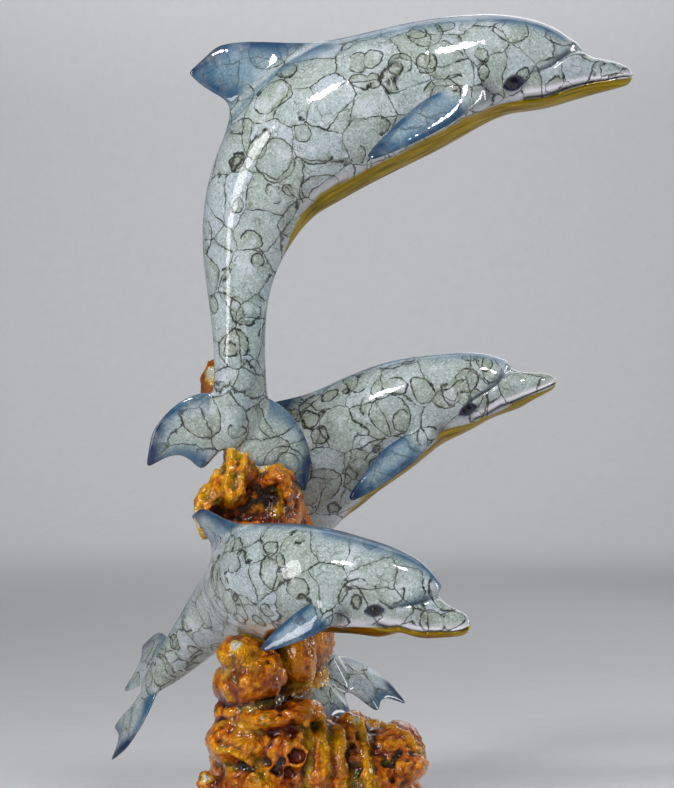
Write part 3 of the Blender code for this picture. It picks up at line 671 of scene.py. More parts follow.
def apply_rounding(piece, levels):
    """Rounds a piece off with a subdivision surface."""
    apply_modifier(piece, "rounding", "SUBSURF", levels=levels, render_levels=levels)


def refine_faces(piece, chosen):
    """Halves the edges of the chosen faces, so that finer relief fits on them."""
    select_only(piece)
    bpy.ops.object.mode_set(mode="EDIT")
    bpy.ops.mesh.select_mode(type="FACE")
    bpy.ops.mesh.select_all(action="DESELECT")
    bpy.ops.object.mode_set(mode="OBJECT")
    piece.data.polygons.foreach_set("select", chosen)
    bpy.ops.object.mode_set(mode="EDIT")
    bpy.ops.mesh.subdivide(number_cuts=1, smoothness=1.0)
    bpy.ops.object.mode_set(mode="OBJECT")


def point_places(mesh):
    """Reads a mesh's points as an array."""
    places = np.empty(len(mesh.vertices) * 3)
    mesh.vertices.foreach_get("co", places)
    return places.reshape(-1, 3)


def point_normals(mesh):
    """Reads the outward directions at a mesh's points."""
    outward = np.empty(len(mesh.vertices) * 3)
    mesh.vertex_normals.foreach_get("vector", outward)
    return outward.reshape(-1, 3)


def point_values(mesh, name):
    """Reads one kept number a point from a mesh."""
    values = np.empty(len(mesh.vertices), dtype=np.float32)
    mesh.attributes[name].data.foreach_get("value", values)
    return values.astype(float)


def keep_shares(mesh, name, values):
    """Keeps one number a point on a mesh for its material to read."""
    layer = mesh.attributes.new(name, "FLOAT", "POINT")
    layer.data.foreach_set("value", np.asarray(values, dtype=np.float32))


def bell(distance, width):
    """Gives 1 at distance 0, falling off over the width."""
    return np.exp(-(distance / width) ** 2)


class BodyPlaces:
    """Where each point of a dolphin lies on its straight body."""

    def __init__(self, mesh, marks, length):
        straight = point_places(mesh)
        self.along = straight[:, 0]
        self.side = straight[:, 1]
        self.up = straight[:, 2]
        self.length = length
        self.reach = np.hypot(self.side, self.up)
        self.angle = np.degrees(np.arctan2(np.abs(self.side), self.up))
        self.chord = point_values(mesh, "chord")
        self.span = point_values(mesh, "span")
        self.fluke = smooth_share(self.along, 0.885, 0.915)
        self.below_lips = self.angle - read_keys(marks["lips"], self.along)
        self.below_edge = self.angle - read_keys(marks["gold"], self.along)
        self.behind_crease = (self.along - read_keys(marks["crease"], self.angle)) * length
        self.back_edge = read_keys(marks["back"], self.along)
        self.eye_along, self.eye_angle = marks["eye"]

    def arc(self, degrees):
        """Turns an angle round the body into a distance over its skin, in metres."""
        return np.radians(degrees) * self.reach * self.length


def mouth_gape(places):
    """Gives the mouth's half width, wider towards its corner, and where there is a mouth."""
    gape = GAPE + GAPE_GROWTH * smooth_share(places.along, *GAPE_PLACES)
    return gape, 1.0 - smooth_share(places.along, *MOUTH_END)


def in_flipper_hollow(places, width):
    """Gives 1 in the hollow at the front of a flipper's root, falling off over a width along the body."""
    place, angle, reach = FLIPPER_HOLLOW
    return bell((places.along - place) * places.length, width) * bell(places.angle - angle, reach)


def carve(places):
    """Gives how far each point of a dolphin is raised or sunk by its mouth, brow, eyes and belly folds."""
    below_mouth = places.arc(places.below_lips)
    gape, in_mouth = mouth_gape(places)
    raised = -1.3 * gape * bell(below_mouth, gape) * in_mouth
    raised += 0.8 * MM * bell(below_mouth + 2.6 * gape, 1.4 * gape) * in_mouth
    raised += 0.7 * MM * bell(below_mouth - 2.4 * gape, 1.2 * gape) * in_mouth
    on_brow = 1.0 - smooth_share(places.angle, 92, 112)
    raised -= CREASE_DEPTH * bell(places.behind_crease, CREASE_WIDTH) * on_brow
    raised += BROW_RISE * bell(places.behind_crease - BROW_PLACE, BROW_WIDTH) * on_brow
    across_eye = round_eye(places, EYE_BALL)
    lids = pointed_eye(places, EYE_LIDS)
    raised -= SOCKET_DEPTH * bell(round_eye(places, EYE_PATCH), 0.8)
    raised += BALL_RISE * np.sqrt(np.clip(1.0 - across_eye ** 2, 0.0, 1.0))
    raised += LID_RISE * bell(lids - 1.15, 0.30)
    on_belly = smooth_share(places.along, *BELLY_START) * (1.0 - smooth_share(places.along, *BELLY_END))
    on_body = 1.0 - smooth_share(places.span, 0.0, 0.12)
    raised += EDGE_RISE * bell(places.arc(places.below_edge), FOLD_WIDTH) * on_belly * on_body
    for fold in BELLY_FOLDS:
        raised -= FOLD_DEPTH * bell(places.arc(places.below_edge - fold), FOLD_WIDTH) * on_belly * on_body
    raised -= FLIPPER_HOLLOW_DEPTH * in_flipper_hollow(places, 6.0 * MM) * on_body
    return raised


def eye_offsets(places, half_sizes):
    """Gives how far each point lies behind and below its side's eye, in half sizes."""
    back = (places.along - places.eye_along) * places.length
    down = places.arc(places.angle - places.eye_angle)
    half_length, half_height = half_sizes[0] * places.length, half_sizes[1] * places.length
    return (back + EYE_LEAN * down) / half_length, (down - EYE_LEAN * back) / half_height


def round_eye(places, half_sizes):
    """Gives each point's distance from the eye as an oval: 1 on the oval's edge."""
    back, down = eye_offsets(places, half_sizes)
    return np.hypot(back, down)


def pointed_eye(places, half_sizes):
    """Gives each point's distance from the eye as a shape with a corner at each end: 1 on its edge."""
    back, down = eye_offsets(places, half_sizes)
    return np.abs(down) + back ** 2


def colour_shares(mesh, places):
    """Keeps where a dolphin is gold, blue, deep, dark, pale or eye, and the way of the gold's strokes."""
    on_body = 1.0 - smooth_share(places.span, 0.02, 0.12)
    under_gold = places.arc(places.below_edge)
    gold = smooth_share(under_gold, -0.4 * MM, 0.4 * MM) * on_body
    keep_shares(mesh, "gold", gold)
    keep_shares(mesh, "run", places.along * places.length / STROKE_LENGTH)
    keep_shares(mesh, "strake", under_gold / STROKE_BREADTH)
    on_back = 1.0 - smooth_share(places.angle, places.back_edge - 26, places.back_edge + 8)
    near_beak = 1.0 - smooth_share(places.along, 0.06, 0.10)
    on_back = on_back * (1.0 - near_beak) * (1.0 - places.fluke) * on_body
    on_fin = smooth_share(places.span, 0.0, 0.25)
    to_edge = np.minimum(places.chord, 1.0 - places.chord)
    rim = (1.0 - smooth_share(to_edge, 0.04, 0.48)) * on_fin
    tip = smooth_share(places.span, 0.55, 0.95)
    small_fin = on_fin * (1.0 - places.fluke) * np.clip(0.74 + 0.26 * rim + 0.3 * tip, 0.0, 1.0)
    # Painted shade in blue along the brow's crease, under the melon: sharp on the crease, fading back over the
    # brow
    behind = places.behind_crease
    crease = np.where(behind < 0.0, bell(behind, 1.8 * MM), bell(behind, 9.0 * MM))
    crease *= (1.0 - smooth_share(places.angle, 96, 120)) * on_body
    crease *= 0.35 + 0.65 * smooth_share(places.angle, 15, 50)
    lids = pointed_eye(places, EYE_LIDS)
    patch = 0.65 - 0.65 * smooth_share(round_eye(places, EYE_PATCH), 0.45, 1.15)
    socket = np.maximum(1.0 - smooth_share(lids, 0.95, 1.10), patch)
    beak = 0.30 * (1.0 - smooth_share(places.angle, 70, 105)) * near_beak
    under_tail = 0.45 * smooth_share(places.along, 0.70, 0.78) * smooth_share(places.angle, 125, 165)
    root = 0.20 * places.fluke
    blue = np.max([
        on_back, small_fin, 0.95 * places.fluke * rim, places.fluke * tip, 0.85 * crease,
        1.15 * socket, beak, under_tail, root], axis=0)
    keep_shares(mesh, "blue", blue * (1.0 - gold))
    deep = np.maximum(tip * on_fin, 0.70 * rim * (1.0 - 0.4 * places.fluke))
    ridge_line = 1.0 - smooth_share(places.angle, places.back_edge - 34, places.back_edge - 8)
    # Deep also darkens the brow's crease, as painted shade
    deep = np.max([deep, socket, 0.60 * ridge_line * on_back, 0.85 * crease], axis=0)
    keep_shares(mesh, "deep", np.clip(deep, 0.0, 1.0))
    keep_shares(mesh, "eye", 1.0 - smooth_share(round_eye(places, EYE_BALL), 0.90, 1.05))
    below_mouth = places.arc(places.below_lips)
    gape, in_mouth = mouth_gape(places)
    # Painted shade darkens the mouth's groove and the hollow before each flipper; the lids' dark is the eye's
    # own paint
    mouth_shade = bell(below_mouth - 0.2 * gape, 0.7 * gape) * in_mouth
    hollow = in_flipper_hollow(places, 7.0 * MM) * on_body
    lid_line = bell(lids - 1.0, 0.16)
    keep_shares(mesh, "dark", np.max([mouth_shade, 0.7 * hollow, 0.95 * lid_line, 0.65 * (lids < 1.0)], axis=0))
    margin = bell(under_gold + 3.5 * MM, 3.0 * MM) * on_body * (1.0 - smooth_share(places.along, 0.56, 0.64))
    upper_lip = bell(below_mouth + 3.2 * gape, 1.7 * gape) * in_mouth
    keep_shares(mesh, "pale", np.maximum(0.6 * margin, 0.9 * upper_lip) * (1.0 - gold))


def dolphin(name, pose, marks, length, hold, finish):
    """Makes one posed dolphin that takes the place of the plain one."""
    spine = Spine(pose, length, Vector(hold) * CORAL_HEIGHT)
    body = dolphin_cage(name, pose)
    twin = body.copy()
    twin.data = body.data.copy()
    bpy.context.collection.objects.link(twin)
    holds = body.data.attributes["hold"].data
    grips = body.data.attributes["grip"].data
    for point, place, grip in zip(body.data.vertices, holds, grips):
        bent = spine.bend(point.co)
        if grip.value > 0:
            bent = bent.lerp(spine.carry(point.co, place.value), grip.value)
        point.co = bent
    for piece in (body, twin):
        apply_rounding(piece, 2)
    head = [face.center.x < HEAD_END for face in twin.data.polygons]
    for piece in (body, twin):
        refine_faces(piece, head)
        apply_rounding(piece, 1)
    places = BodyPlaces(twin.data, marks, length)
    bpy.data.objects.remove(twin)
    mesh = body.data
    carved = point_places(mesh) + point_normals(mesh) * carve(places)[:, None]
    mesh.vertices.foreach_set("co", carved.ravel())
    mesh.update()
    colour_shares(mesh, places)
    mesh.shade_smooth()
    mesh.materials.append(finish)
    return body


# The coral's shape


def rim_lumps():
    """Lists the lumps that stand evenly round the foot's rim."""
    middle_x, middle_y, ring_x, ring_y = RIM_RING
    lumps = []
    for number in range(RIM_LUMPS):
        angle = 2.0 * math.pi * number / RIM_LUMPS
        half_width, half_height = RIM_SIZES[number % len(RIM_SIZES)]
        x, y = middle_x + ring_x * math.cos(angle), middle_y + ring_y * math.sin(angle)
        lumps.append((x, y, half_height / 3, half_width, half_width, half_height))
    return lumps


def swellings(name, table):
    """Adds rounded lumps and joins them into one object."""
    deselect_all()
    lumps = []
    for x, y, z, half_x, half_y, half_z in table:
        bpy.ops.mesh.primitive_ico_sphere_add(
            subdivisions=4, radius=CORAL_HEIGHT, location=Vector((x, y, z)) * CORAL_HEIGHT,
            scale=(half_x, half_y, half_z))
        lumps.append(bpy.context.object)
    select_only(*lumps)
    bpy.ops.object.join()
    joined = bpy.context.object
    joined.name = name
    bpy.ops.object.transform_apply(location=True, rotation=True, scale=True)
    return joined


def weld(piece):
    """Runs overlapping shapes together into one skin of even grain."""
    apply_modifier(piece, "welding", "REMESH", mode="VOXEL", voxel_size=CORAL_GRAIN)


def cut(piece, cutter):
    """Takes a cutter's shape out of a piece and drops the cutter."""
    apply_modifier(piece, "cutting", "BOOLEAN", operation="DIFFERENCE", solver="EXACT", object=cutter)
    bpy.data.objects.remove(cutter)


def photo_ray(pixel):
    """Gives the camera's place and the direction in which it sees a pixel of the photograph."""
    start = Vector((CAMERA_X, -CAMERA_DISTANCE, CAMERA_Z))
    across = (pixel[0] - PHOTO_WIDTH / 2) * PIXEL
    down = (pixel[1] - PHOTO_HEIGHT / 2) * PIXEL
    return start, Vector((across, CAMERA_DISTANCE, -down)).normalized()


def skin_tree(piece):
    """Prepares a piece's skin for finding nearest or hit points."""
    piece.data.calc_loop_triangles()
    corners = [tuple(triangle.vertices) for triangle in piece.data.loop_triangles]
    return BVHTree.FromPolygons([point.co for point in piece.data.vertices], corners)


def skin_place(tree, pixel):
    """Finds where a pixel's ray meets the skin, and the skin's outward direction there."""
    place, outward, _, _ = tree.ray_cast(*photo_ray(pixel))
    return place, outward


def run_of_pixels(pixels, step):
    """Lists pixels that follow a bent line, a step apart."""
    listed = []
    for start, stop in zip(pixels, pixels[1:]):
        reach = math.hypot(stop[0] - start[0], stop[1] - start[1])
        count = max(1, round(reach / step))
        for number in range(count):
            share = number / count
            listed.append((start[0] + (stop[0] - start[0]) * share, start[1] + (stop[1] - start[1]) * share))
    return listed + [pixels[-1]]


def join_to(stem, pieces):
    """Joins pieces to the coral and runs them into one skin."""
    select_only(stem, *pieces)
    bpy.ops.object.join()
    weld(stem)


def add_ornament(stem):
    """Sets cups, rims, flutes and beads where the photograph shows them; gives the rims' places."""
    tree = skin_tree(stem)
    pieces, rim_places = [], []
    for pixel, radius in CORAL_CUPS:
        place, outward = skin_place(tree, pixel)
        outward = (outward - CUP_TURN * photo_ray(pixel)[1]).normalized()
        turn = outward.to_track_quat("Z", "Y").to_euler()
        bpy.ops.mesh.primitive_torus_add(
            major_segments=48, minor_segments=16, major_radius=CUP_RING * radius * MM,
            minor_radius=CUP_THICKNESS * radius * MM, location=place + outward * CUP_RISE, rotation=turn)
        pieces.append(bpy.context.object)
    for pixels, radius in CORAL_RIMS:
        for number, pixel in enumerate(run_of_pixels(pixels, RIM_STEP * radius)):
            place, outward = skin_place(tree, pixel)
            if place is None:
                continue
            size = radius * (1.0 + RIM_SWELL * math.sin(RIM_BEAT * number)) * MM
            middle = place + outward * RIM_LIFT * size
            bpy.ops.mesh.primitive_ico_sphere_add(subdivisions=2, radius=size, location=middle)
            pieces.append(bpy.context.object)
            rim_places.append((place, radius * MM))
    for start, stop, count, radius in CORAL_BEADS:
        for number in range(count):
            share = number / (count - 1)
            pixel = (start[0] + (stop[0] - start[0]) * share, start[1] + (stop[1] - start[1]) * share)
            place, outward = skin_place(tree, pixel)
            if place is not None:
                bpy.ops.mesh.primitive_ico_sphere_add(subdivisions=2, radius=radius * MM, location=place)
                pieces.append(bpy.context.object)
    join_to(stem, pieces)
    return rim_places


def warts(place, size):
    """Gives 1 on top of a bead and 0 between beads, for beads of one size packed all over."""
    distances, _ = noise.voronoi(place / size)
    return max(0.0, 1.0 - (distances[0] / 0.6) ** 2)


def coral_relief(place, outward):
    """Gives how far one point of the coral is raised by its lumps, beads and ripples."""
    swell = noise.noise(place / SWELL_SIZE) * SWELL_RISE * MM
    lump = noise.noise(place / LUMP_SIZE) * LUMP_RISE * MM
    patch = float(smooth_share(noise.noise(place / PATCH_SIZE + Vector((7, 3, 1))), -0.25, 0.15))
    bead = warts(place, BEAD_SIZE) * BEAD_RISE * MM * patch
    stretched = Vector((place.x, place.y, place.z / RIPPLE_STRETCH))
    ripple = (1.0 - abs(noise.noise(stretched / RIPPLE_SIZE + Vector((2, 9, 4))))) ** 4
    fine = noise.noise(place / GRAIN_SIZE) * GRAIN_RISE * MM
    above_foot = float(smooth_share(place.z, 0.0, RELIEF_START))
    facing_down = max(0.0, -outward.z)
    raised = swell + lump + bead + ripple * RIPPLE_RISE * MM * (1.0 - 0.7 * patch) + fine - RELIEF_SUNK
    return raised * above_foot * (1.0 - 0.6 * facing_down)


def coral_stem(dolphins, finish):
    """Makes the coral: lumps run together, hollowed, set with cups, rims and beads, and roughened."""
    lower = CORAL_FOOT + rim_lumps() + CORAL_TRUNK
    upper = CORAL_HEAD + CORAL_BOWL + CORAL_WALL + CORAL_FRONT
    stem = swellings("coral", lower + upper)
    weld(stem)
    hollows = swellings("hollows", CORAL_HOLLOWS)
    weld(hollows)
    cut(stem, hollows)
    tree = skin_tree(stem)
    runs = [(skin_place(tree, pixel)[0], radius * MM) for pixel, radius in CORAL_RUNS]
    rims = add_ornament(stem)
    mesh = stem.data
    before = point_places(mesh)
    outward = point_normals(mesh)
    raised = [coral_relief(Vector(place), Vector(way)) for place, way in zip(before, outward)]
    after = before + outward * np.array(raised)[:, None]
    after[:, 2] = np.maximum(after[:, 2], 0.0)
    mesh.vertices.foreach_set("co", after.ravel())
    mesh.update()
    # Lighter on ridges, darker in cavities and hollows: partly the lacquer's thickness, partly painted
    # highlight and shade
    keep_shares(mesh, "ridge", ridge_shares(mesh))
    keep_shares(mesh, "rim", near_places(after, rims, 1.7))
    keep_shares(mesh, "shade", in_hollows(after))
    touch = spill_shares(mesh, dolphins)
    keep_shares(mesh, "spill", np.maximum(touch, near_places(after, runs, 1.0)))
    mesh.shade_smooth()
    mesh.materials.clear()
    mesh.materials.append(finish)
    return stem


def near_places(points, places, reach):
    """Gives 1 at the listed places, falling to 0 at reach times each one's radius."""
    nearest = np.zeros(len(points))
    for place, radius in places:
        away = np.linalg.norm(points - np.array(place), axis=1)
        nearest = np.maximum(nearest, 1.0 - smooth_share(away / (radius * reach), 0.25, 1.0))
    return nearest


def in_hollows(points):
    """Gives 1 in the coral's hollows, falling to 0 at about one and a half times their size."""
    deepest = np.zeros(len(points))
    for x, y, z, half_x, half_y, half_z in CORAL_HOLLOWS:
        offset = points / CORAL_HEIGHT - np.array((x, y, z))
        away = np.linalg.norm(offset / np.array((half_x, half_y, half_z)), axis=1)
        deepest = np.maximum(deepest, 1.0 - smooth_share(away, 0.95, 1.45))
    return deepest


def ridge_shares(mesh, rounds=14):
    """Measures how each point stands to its surroundings: 0 in a cavity, 0.5 on the flat, 1 on a ridge."""
    places = point_places(mesh)
    ends = np.empty(len(mesh.edges) * 2, dtype=np.int64)
    mesh.edges.foreach_get("vertices", ends)
    first, second = ends.reshape(-1, 2).T
    count = np.bincount(ends, minlength=len(places))
    calm = places.copy()
    for _ in range(rounds):
        total = np.empty_like(calm)
        for axis in range(3):
            total[:, axis] = np.bincount(first, weights=calm[second, axis], minlength=len(places))
            total[:, axis] += np.bincount(second, weights=calm[first, axis], minlength=len(places))
        calm = total / count[:, None]
    over = ((places - calm) * point_normals(mesh)).sum(axis=1)
    return np.clip(0.5 + over / RIDGE_RISE, 0.0, 1.0)


def spill_shares(mesh, dolphins):
    """Measures how near each point of the coral is to a dolphin: 0.8 where they touch, 0 beyond the reach."""
    trees = [skin_tree(body) for body in dolphins]
    far = SPILL_REACH + MM
    shares = []
    for place in point_places(mesh):
        nearest = min(tree.find_nearest(Vector(place), far)[3] or far for tree in trees)
        shares.append(0.8 - 0.8 * float(smooth_share(nearest, 0.5 * MM, SPILL_REACH)))
    return np.array(shares)


# Finishes


def linear(colour):
    """Turns an sRGB hex colour into linear values."""
    parts = [int(colour[start:start + 2], 16) / 255 for start in (1, 3, 5)]
    return [part / 12.92 if part <= 0.04045 else ((part + 0.055) / 1.055) ** 2.4 for part in parts] + [1.0]


def new_finish(name):
    """Starts a material with one Principled shader."""
    finish = bpy.data.materials.new(name)
    finish.use_nodes = True
    tree = finish.node_tree
    return finish, tree, tree.nodes["Principled BSDF"]


def set_inputs(tree, node, inputs):
    """Gives a node's inputs their values or links them to other nodes' outputs."""
    for name, value in inputs.items():
        if isinstance(value, bpy.types.NodeSocket):
            tree.links.new(value, node.inputs[name])
        else:
            node.inputs[name].default_value = value


def add(tree, kind, inputs, **settings):
    """Adds a node with its settings and links and gives the first of its outputs that is in use."""
    node = tree.nodes.new("ShaderNode" + kind)
    for name, value in settings.items():
        setattr(node, name, value)
    set_inputs(tree, node, inputs)
    return next(output for output in node.outputs if output.enabled)


def moved_by_noise(tree, place, size, reach, detail):
    """Pushes a pattern about by a reach in metres, in waves of a size."""
    waves = add(tree, "TexNoise", {"Vector": place, "Scale": 1 / size, "Detail": detail}).node
    even = add(tree, "VectorMath", {0: waves.outputs["Color"], 1: (0.5, 0.5, 0.5)}, operation="SUBTRACT")
    push = add(tree, "VectorMath", {0: even, "Scale": 2 * reach}, operation="SCALE")
    return add(tree, "VectorMath", {0: place, 1: push}, operation="ADD")


def noise_share(tree, place, size, low, high, detail=2.0, bottom=0.0, top=1.0):
    """Reads noise of a size in metres, spread from bottom to top between low and high."""
    waves = add(tree, "TexNoise", {"Vector": place, "Scale": 1 / size, "Detail": detail})
    return add(tree, "MapRange", {"Value": waves, 1: low, 2: high, 3: bottom, 4: top})


def layered(tree, under, layers):
    """Lays colours over one another; a layer is its share, how strongly that counts, and its colour."""
    for share, strength, colour in layers:
        if strength < 1.0:
            share = add(tree, "Math", {0: share, 1: strength}, operation="MULTIPLY")
        under = add(tree, "Mix", {0: share, 6: under, 7: linear(colour)}, data_type="RGBA")
    return under


def glass_pools(tree, place, breadth, size, radius, shift, missing):
    """Draws rounded pools of tinted glass: where they are, their dark outline and the shade inside it."""
    at = add(tree, "VectorMath", {0: place, 1: shift}, operation="ADD")
    pool = add(tree, "TexVoronoi", {"Vector": at, "Scale": 1 / size, "Randomness": 0.8}, feature="F1")
    tone = add(tree, "SeparateColor", {"Color": pool.node.outputs["Color"]}).node
    reach = add(tree, "MapRange", {"Value": tone.outputs[0], 3: 0.78 * radius, 4: 1.12 * radius})
    beyond = add(tree, "Math", {0: pool, 1: reach}, operation="SUBTRACT")
    there = add(tree, "Math", {0: tone.outputs[1], 1: missing}, operation="GREATER_THAN")
    inside = add(tree, "MapRange", {"Value": beyond, 1: 0.012, 2: -0.012})
    inside = add(tree, "Math", {0: inside, 1: there}, operation="MULTIPLY")
    edge = add(tree, "Math", {0: beyond}, operation="ABSOLUTE")
    edge = add(tree, "Math", {0: edge, 1: size}, operation="MULTIPLY")
    line = add(tree, "MapRange", {"Value": edge, 1: breadth, 2: 0.0, 3: 0.0, 4: 1.3})
    line = add(tree, "Math", {0: line, 1: there}, operation="MULTIPLY")
    shade = add(tree, "MapRange", {"Value": beyond, 1: -0.17, 2: -0.01})
    return inside, line, add(tree, "Math", {0: shade, 1: inside}, operation="MULTIPLY")


def crackled_glass(tree, place, pale):
    """Draws pale glass in cells and rounded pools; gives its colour, its dark cracks and its specks."""
    moved = place
    for size, reach, detail in CELL_WANDER:
        moved = moved_by_noise(tree, moved, size, reach, detail)
    breadth = noise_share(tree, place, 8 * MM, 0.35, 0.65, 2.0, *CRACK_BREADTHS)
    cells = {"Vector": moved, "Scale": 1 / CELL, "Randomness": 0.9}
    split = add(tree, "TexVoronoi", cells, feature="DISTANCE_TO_EDGE")
    split = add(tree, "Math", {0: split, 1: CELL}, operation="MULTIPLY")
    tone = add(tree, "TexVoronoi", cells, feature="F1").node
    tone = add(tree, "SeparateColor", {"Color": tone.outputs["Color"]}).node
    lines = add(tree, "Math", {0: split, 1: breadth}, operation="DIVIDE")
    lines = add(tree, "MapRange", {"Value": lines, 1: 0.75, 2: 0.15})
    # Some cells darken towards their edges, and so does each pool
    shade = add(tree, "MapRange", {"Value": split, 1: 4.5 * MM, 2: 0.5 * MM, 3: 0.0, 4: 0.75})
    shaded = add(tree, "Math", {0: tone.outputs[1], 1: 0.35}, operation="GREATER_THAN")
    shade = add(tree, "Math", {0: shade, 1: shaded}, operation="MULTIPLY")
    pools = []
    for pool in POOLS:
        inside, line, pool_shade = glass_pools(tree, moved, breadth, *pool)
        pools.append(inside)
        lines = add(tree, "Math", {0: lines, 1: line}, operation="MAXIMUM")
        shade = add(tree, "Math", {0: shade, 1: pool_shade}, operation="MAXIMUM")
    worn = noise_share(tree, place, 7 * MM, 0.32, 0.52, 2.0, 0.50, 1.0)
    lines = add(tree, "Math", {0: lines, 1: worn}, operation="MULTIPLY", use_clamp=True)
    patchy = noise_share(tree, place, 9 * MM, 0.35, 0.62, 3.0, 0.05, 0.80)
    shade = add(tree, "Math", {0: shade, 1: patchy}, operation="MULTIPLY")
    # Specks and hairs finer than a millimetre are drawn a little coarser, so that they show
    white = noise_share(tree, place, 20 * MM, 0.56, 0.68, 2.0, 0.0, 0.60)
    frost = noise_share(tree, place, 2.2 * MM, 0.50, 0.66, 3.0, 0.0, 0.45)
    specks = noise_share(tree, place, 1.4 * MM, 0.54, 0.66, 3.0, 0.0, 0.60)
    hairs = add(tree, "TexVoronoi", {"Vector": moved, "Scale": 1 / HAIR_CELL}, feature="DISTANCE_TO_EDGE")
    hairs = add(tree, "MapRange", {"Value": hairs, 1: 0.07, 2: 0.0, 3: 0.0, 4: 0.7})
    some = noise_share(tree, place, 15 * MM, 0.50, 0.60)
    hairs = add(tree, "Math", {0: hairs, 1: some}, operation="MULTIPLY")
    glass = layered(tree, linear("#b0bcc4"), [
        (tone.outputs[0], 1.0, "#a2aea6"), (pools[0], 0.36, "#8f9a86"), (pools[1], 0.40, "#848f76"),
        (shade, 1.0, "#6f7860"), (white, 1.0, "#d3d9e2"), (frost, 1.0, "#e2e6e8"), (specks, 1.0, "#626b60"),
        (hairs, 1.0, "#59604c"), (pale, 1.0, "#e4dfe8"),
    ])
    return glass, lines, specks


def crackled_enamel():
    """Vitreous enamel fired over copper: glossy pale glass in cells and round pools with dark outlines."""
    finish, tree, shader = new_finish("crackled enamel and gilding on copper")
    place = add(tree, "TexCoord", {}).node.outputs["Object"]
    pale, blue, deep, dark, gold, run, strake, eye = [
        add(tree, "Attribute", {}, attribute_name=name).node.outputs["Fac"]
        for name in ("pale", "blue", "deep", "dark", "gold", "run", "strake", "eye")
    ]
    glass, lines, specks = crackled_glass(tree, place, pale)
    # Blue glaze on back, fins and round the eyes, deeper at the fins' tips; painted blue shade in the brow's
    # crease
    drift = noise_share(tree, place, 18 * MM, 0.3, 0.7, 3.0, -0.30, 0.22)
    glaze = add(tree, "Math", {0: blue, 1: drift}, operation="ADD")
    glaze = add(tree, "Math", {0: glaze, 1: blue}, operation="MULTIPLY", use_clamp=True)
    tint = layered(tree, linear("#4c7896"), [(deep, 1.0, "#0a2a50"), (specks, 0.5, "#2b4a60")])
    glass = add(tree, "Mix", {0: glaze, 6: glass, 7: tint}, data_type="RGBA")
    calm = add(tree, "MapRange", {"Value": blue, 1: 0.45, 2: 1.0, 3: 1.0, 4: 0.30})
    lines = add(tree, "Math", {0: lines, 1: calm}, operation="MULTIPLY")
    # Dark: painted shade in the mouth's groove and the flipper's hollow, and the eyes' own dark lids
    glass = layered(tree, glass, [(lines, 0.95, "#14160e"), (dark, 1.0, "#241f2c")])
    # Gilding on the belly and the lower jaw, burnished in long strokes along the body
    along = add(tree, "CombineXYZ", {0: run, 1: strake, 2: 0.0})
    stroke = add(tree, "TexNoise", {"Vector": along, "Scale": 1.0, "Detail": 3.0})
    stroke = add(tree, "MapRange", {"Value": stroke, 1: 0.25, 2: 0.75})
    metal = layered(tree, linear("#6a5509"), [(stroke, 1.0, "#c6a422")])
    skin = add(tree, "Mix", {0: gold, 6: glass, 7: metal}, data_type="RGBA")
    # The cracks are sunk a little under the clear coat, and the gilding's strokes stand out a little
    height = add(tree, "Math", {0: 1.0, 1: lines}, operation="SUBTRACT")
    burnish = add(tree, "Math", {0: stroke, 1: gold}, operation="MULTIPLY")
    height = add(tree, "Math", {0: burnish, 1: 1.2, 2: height}, operation="MULTIPLY_ADD")
    # The clear coat itself is drawn over gentle waves, so that its highlights break up
    waves = noise_share(tree, place, 14 * MM, 0.0, 1.0, 2.0)
    set_inputs(tree, shader, {
        "Base Color": layered(tree, skin, [(eye, 1.0, "#07090f")]),
        "Metallic": add(tree, "Math", {0: gold, 1: 0.95}, operation="MULTIPLY"),
        "Roughness": add(tree, "MapRange", {"Value": stroke, 3: 0.42, 4: 0.26}),
        "Normal": add(tree, "Bump", {"Height": height, "Distance": 0.25 * MM, "Strength": 0.6}),
        "Coat Weight": add(tree, "MapRange", {"Value": gold, 3: 1.0, 4: 0.15}),
        "Coat Normal": add(tree, "Bump", {"Height": waves, "Distance": 1.2 * MM, "Strength": 0.35}),
        "Specular IOR Level": 0.10,
        "Coat Roughness": 0.05,
    })
    return finish


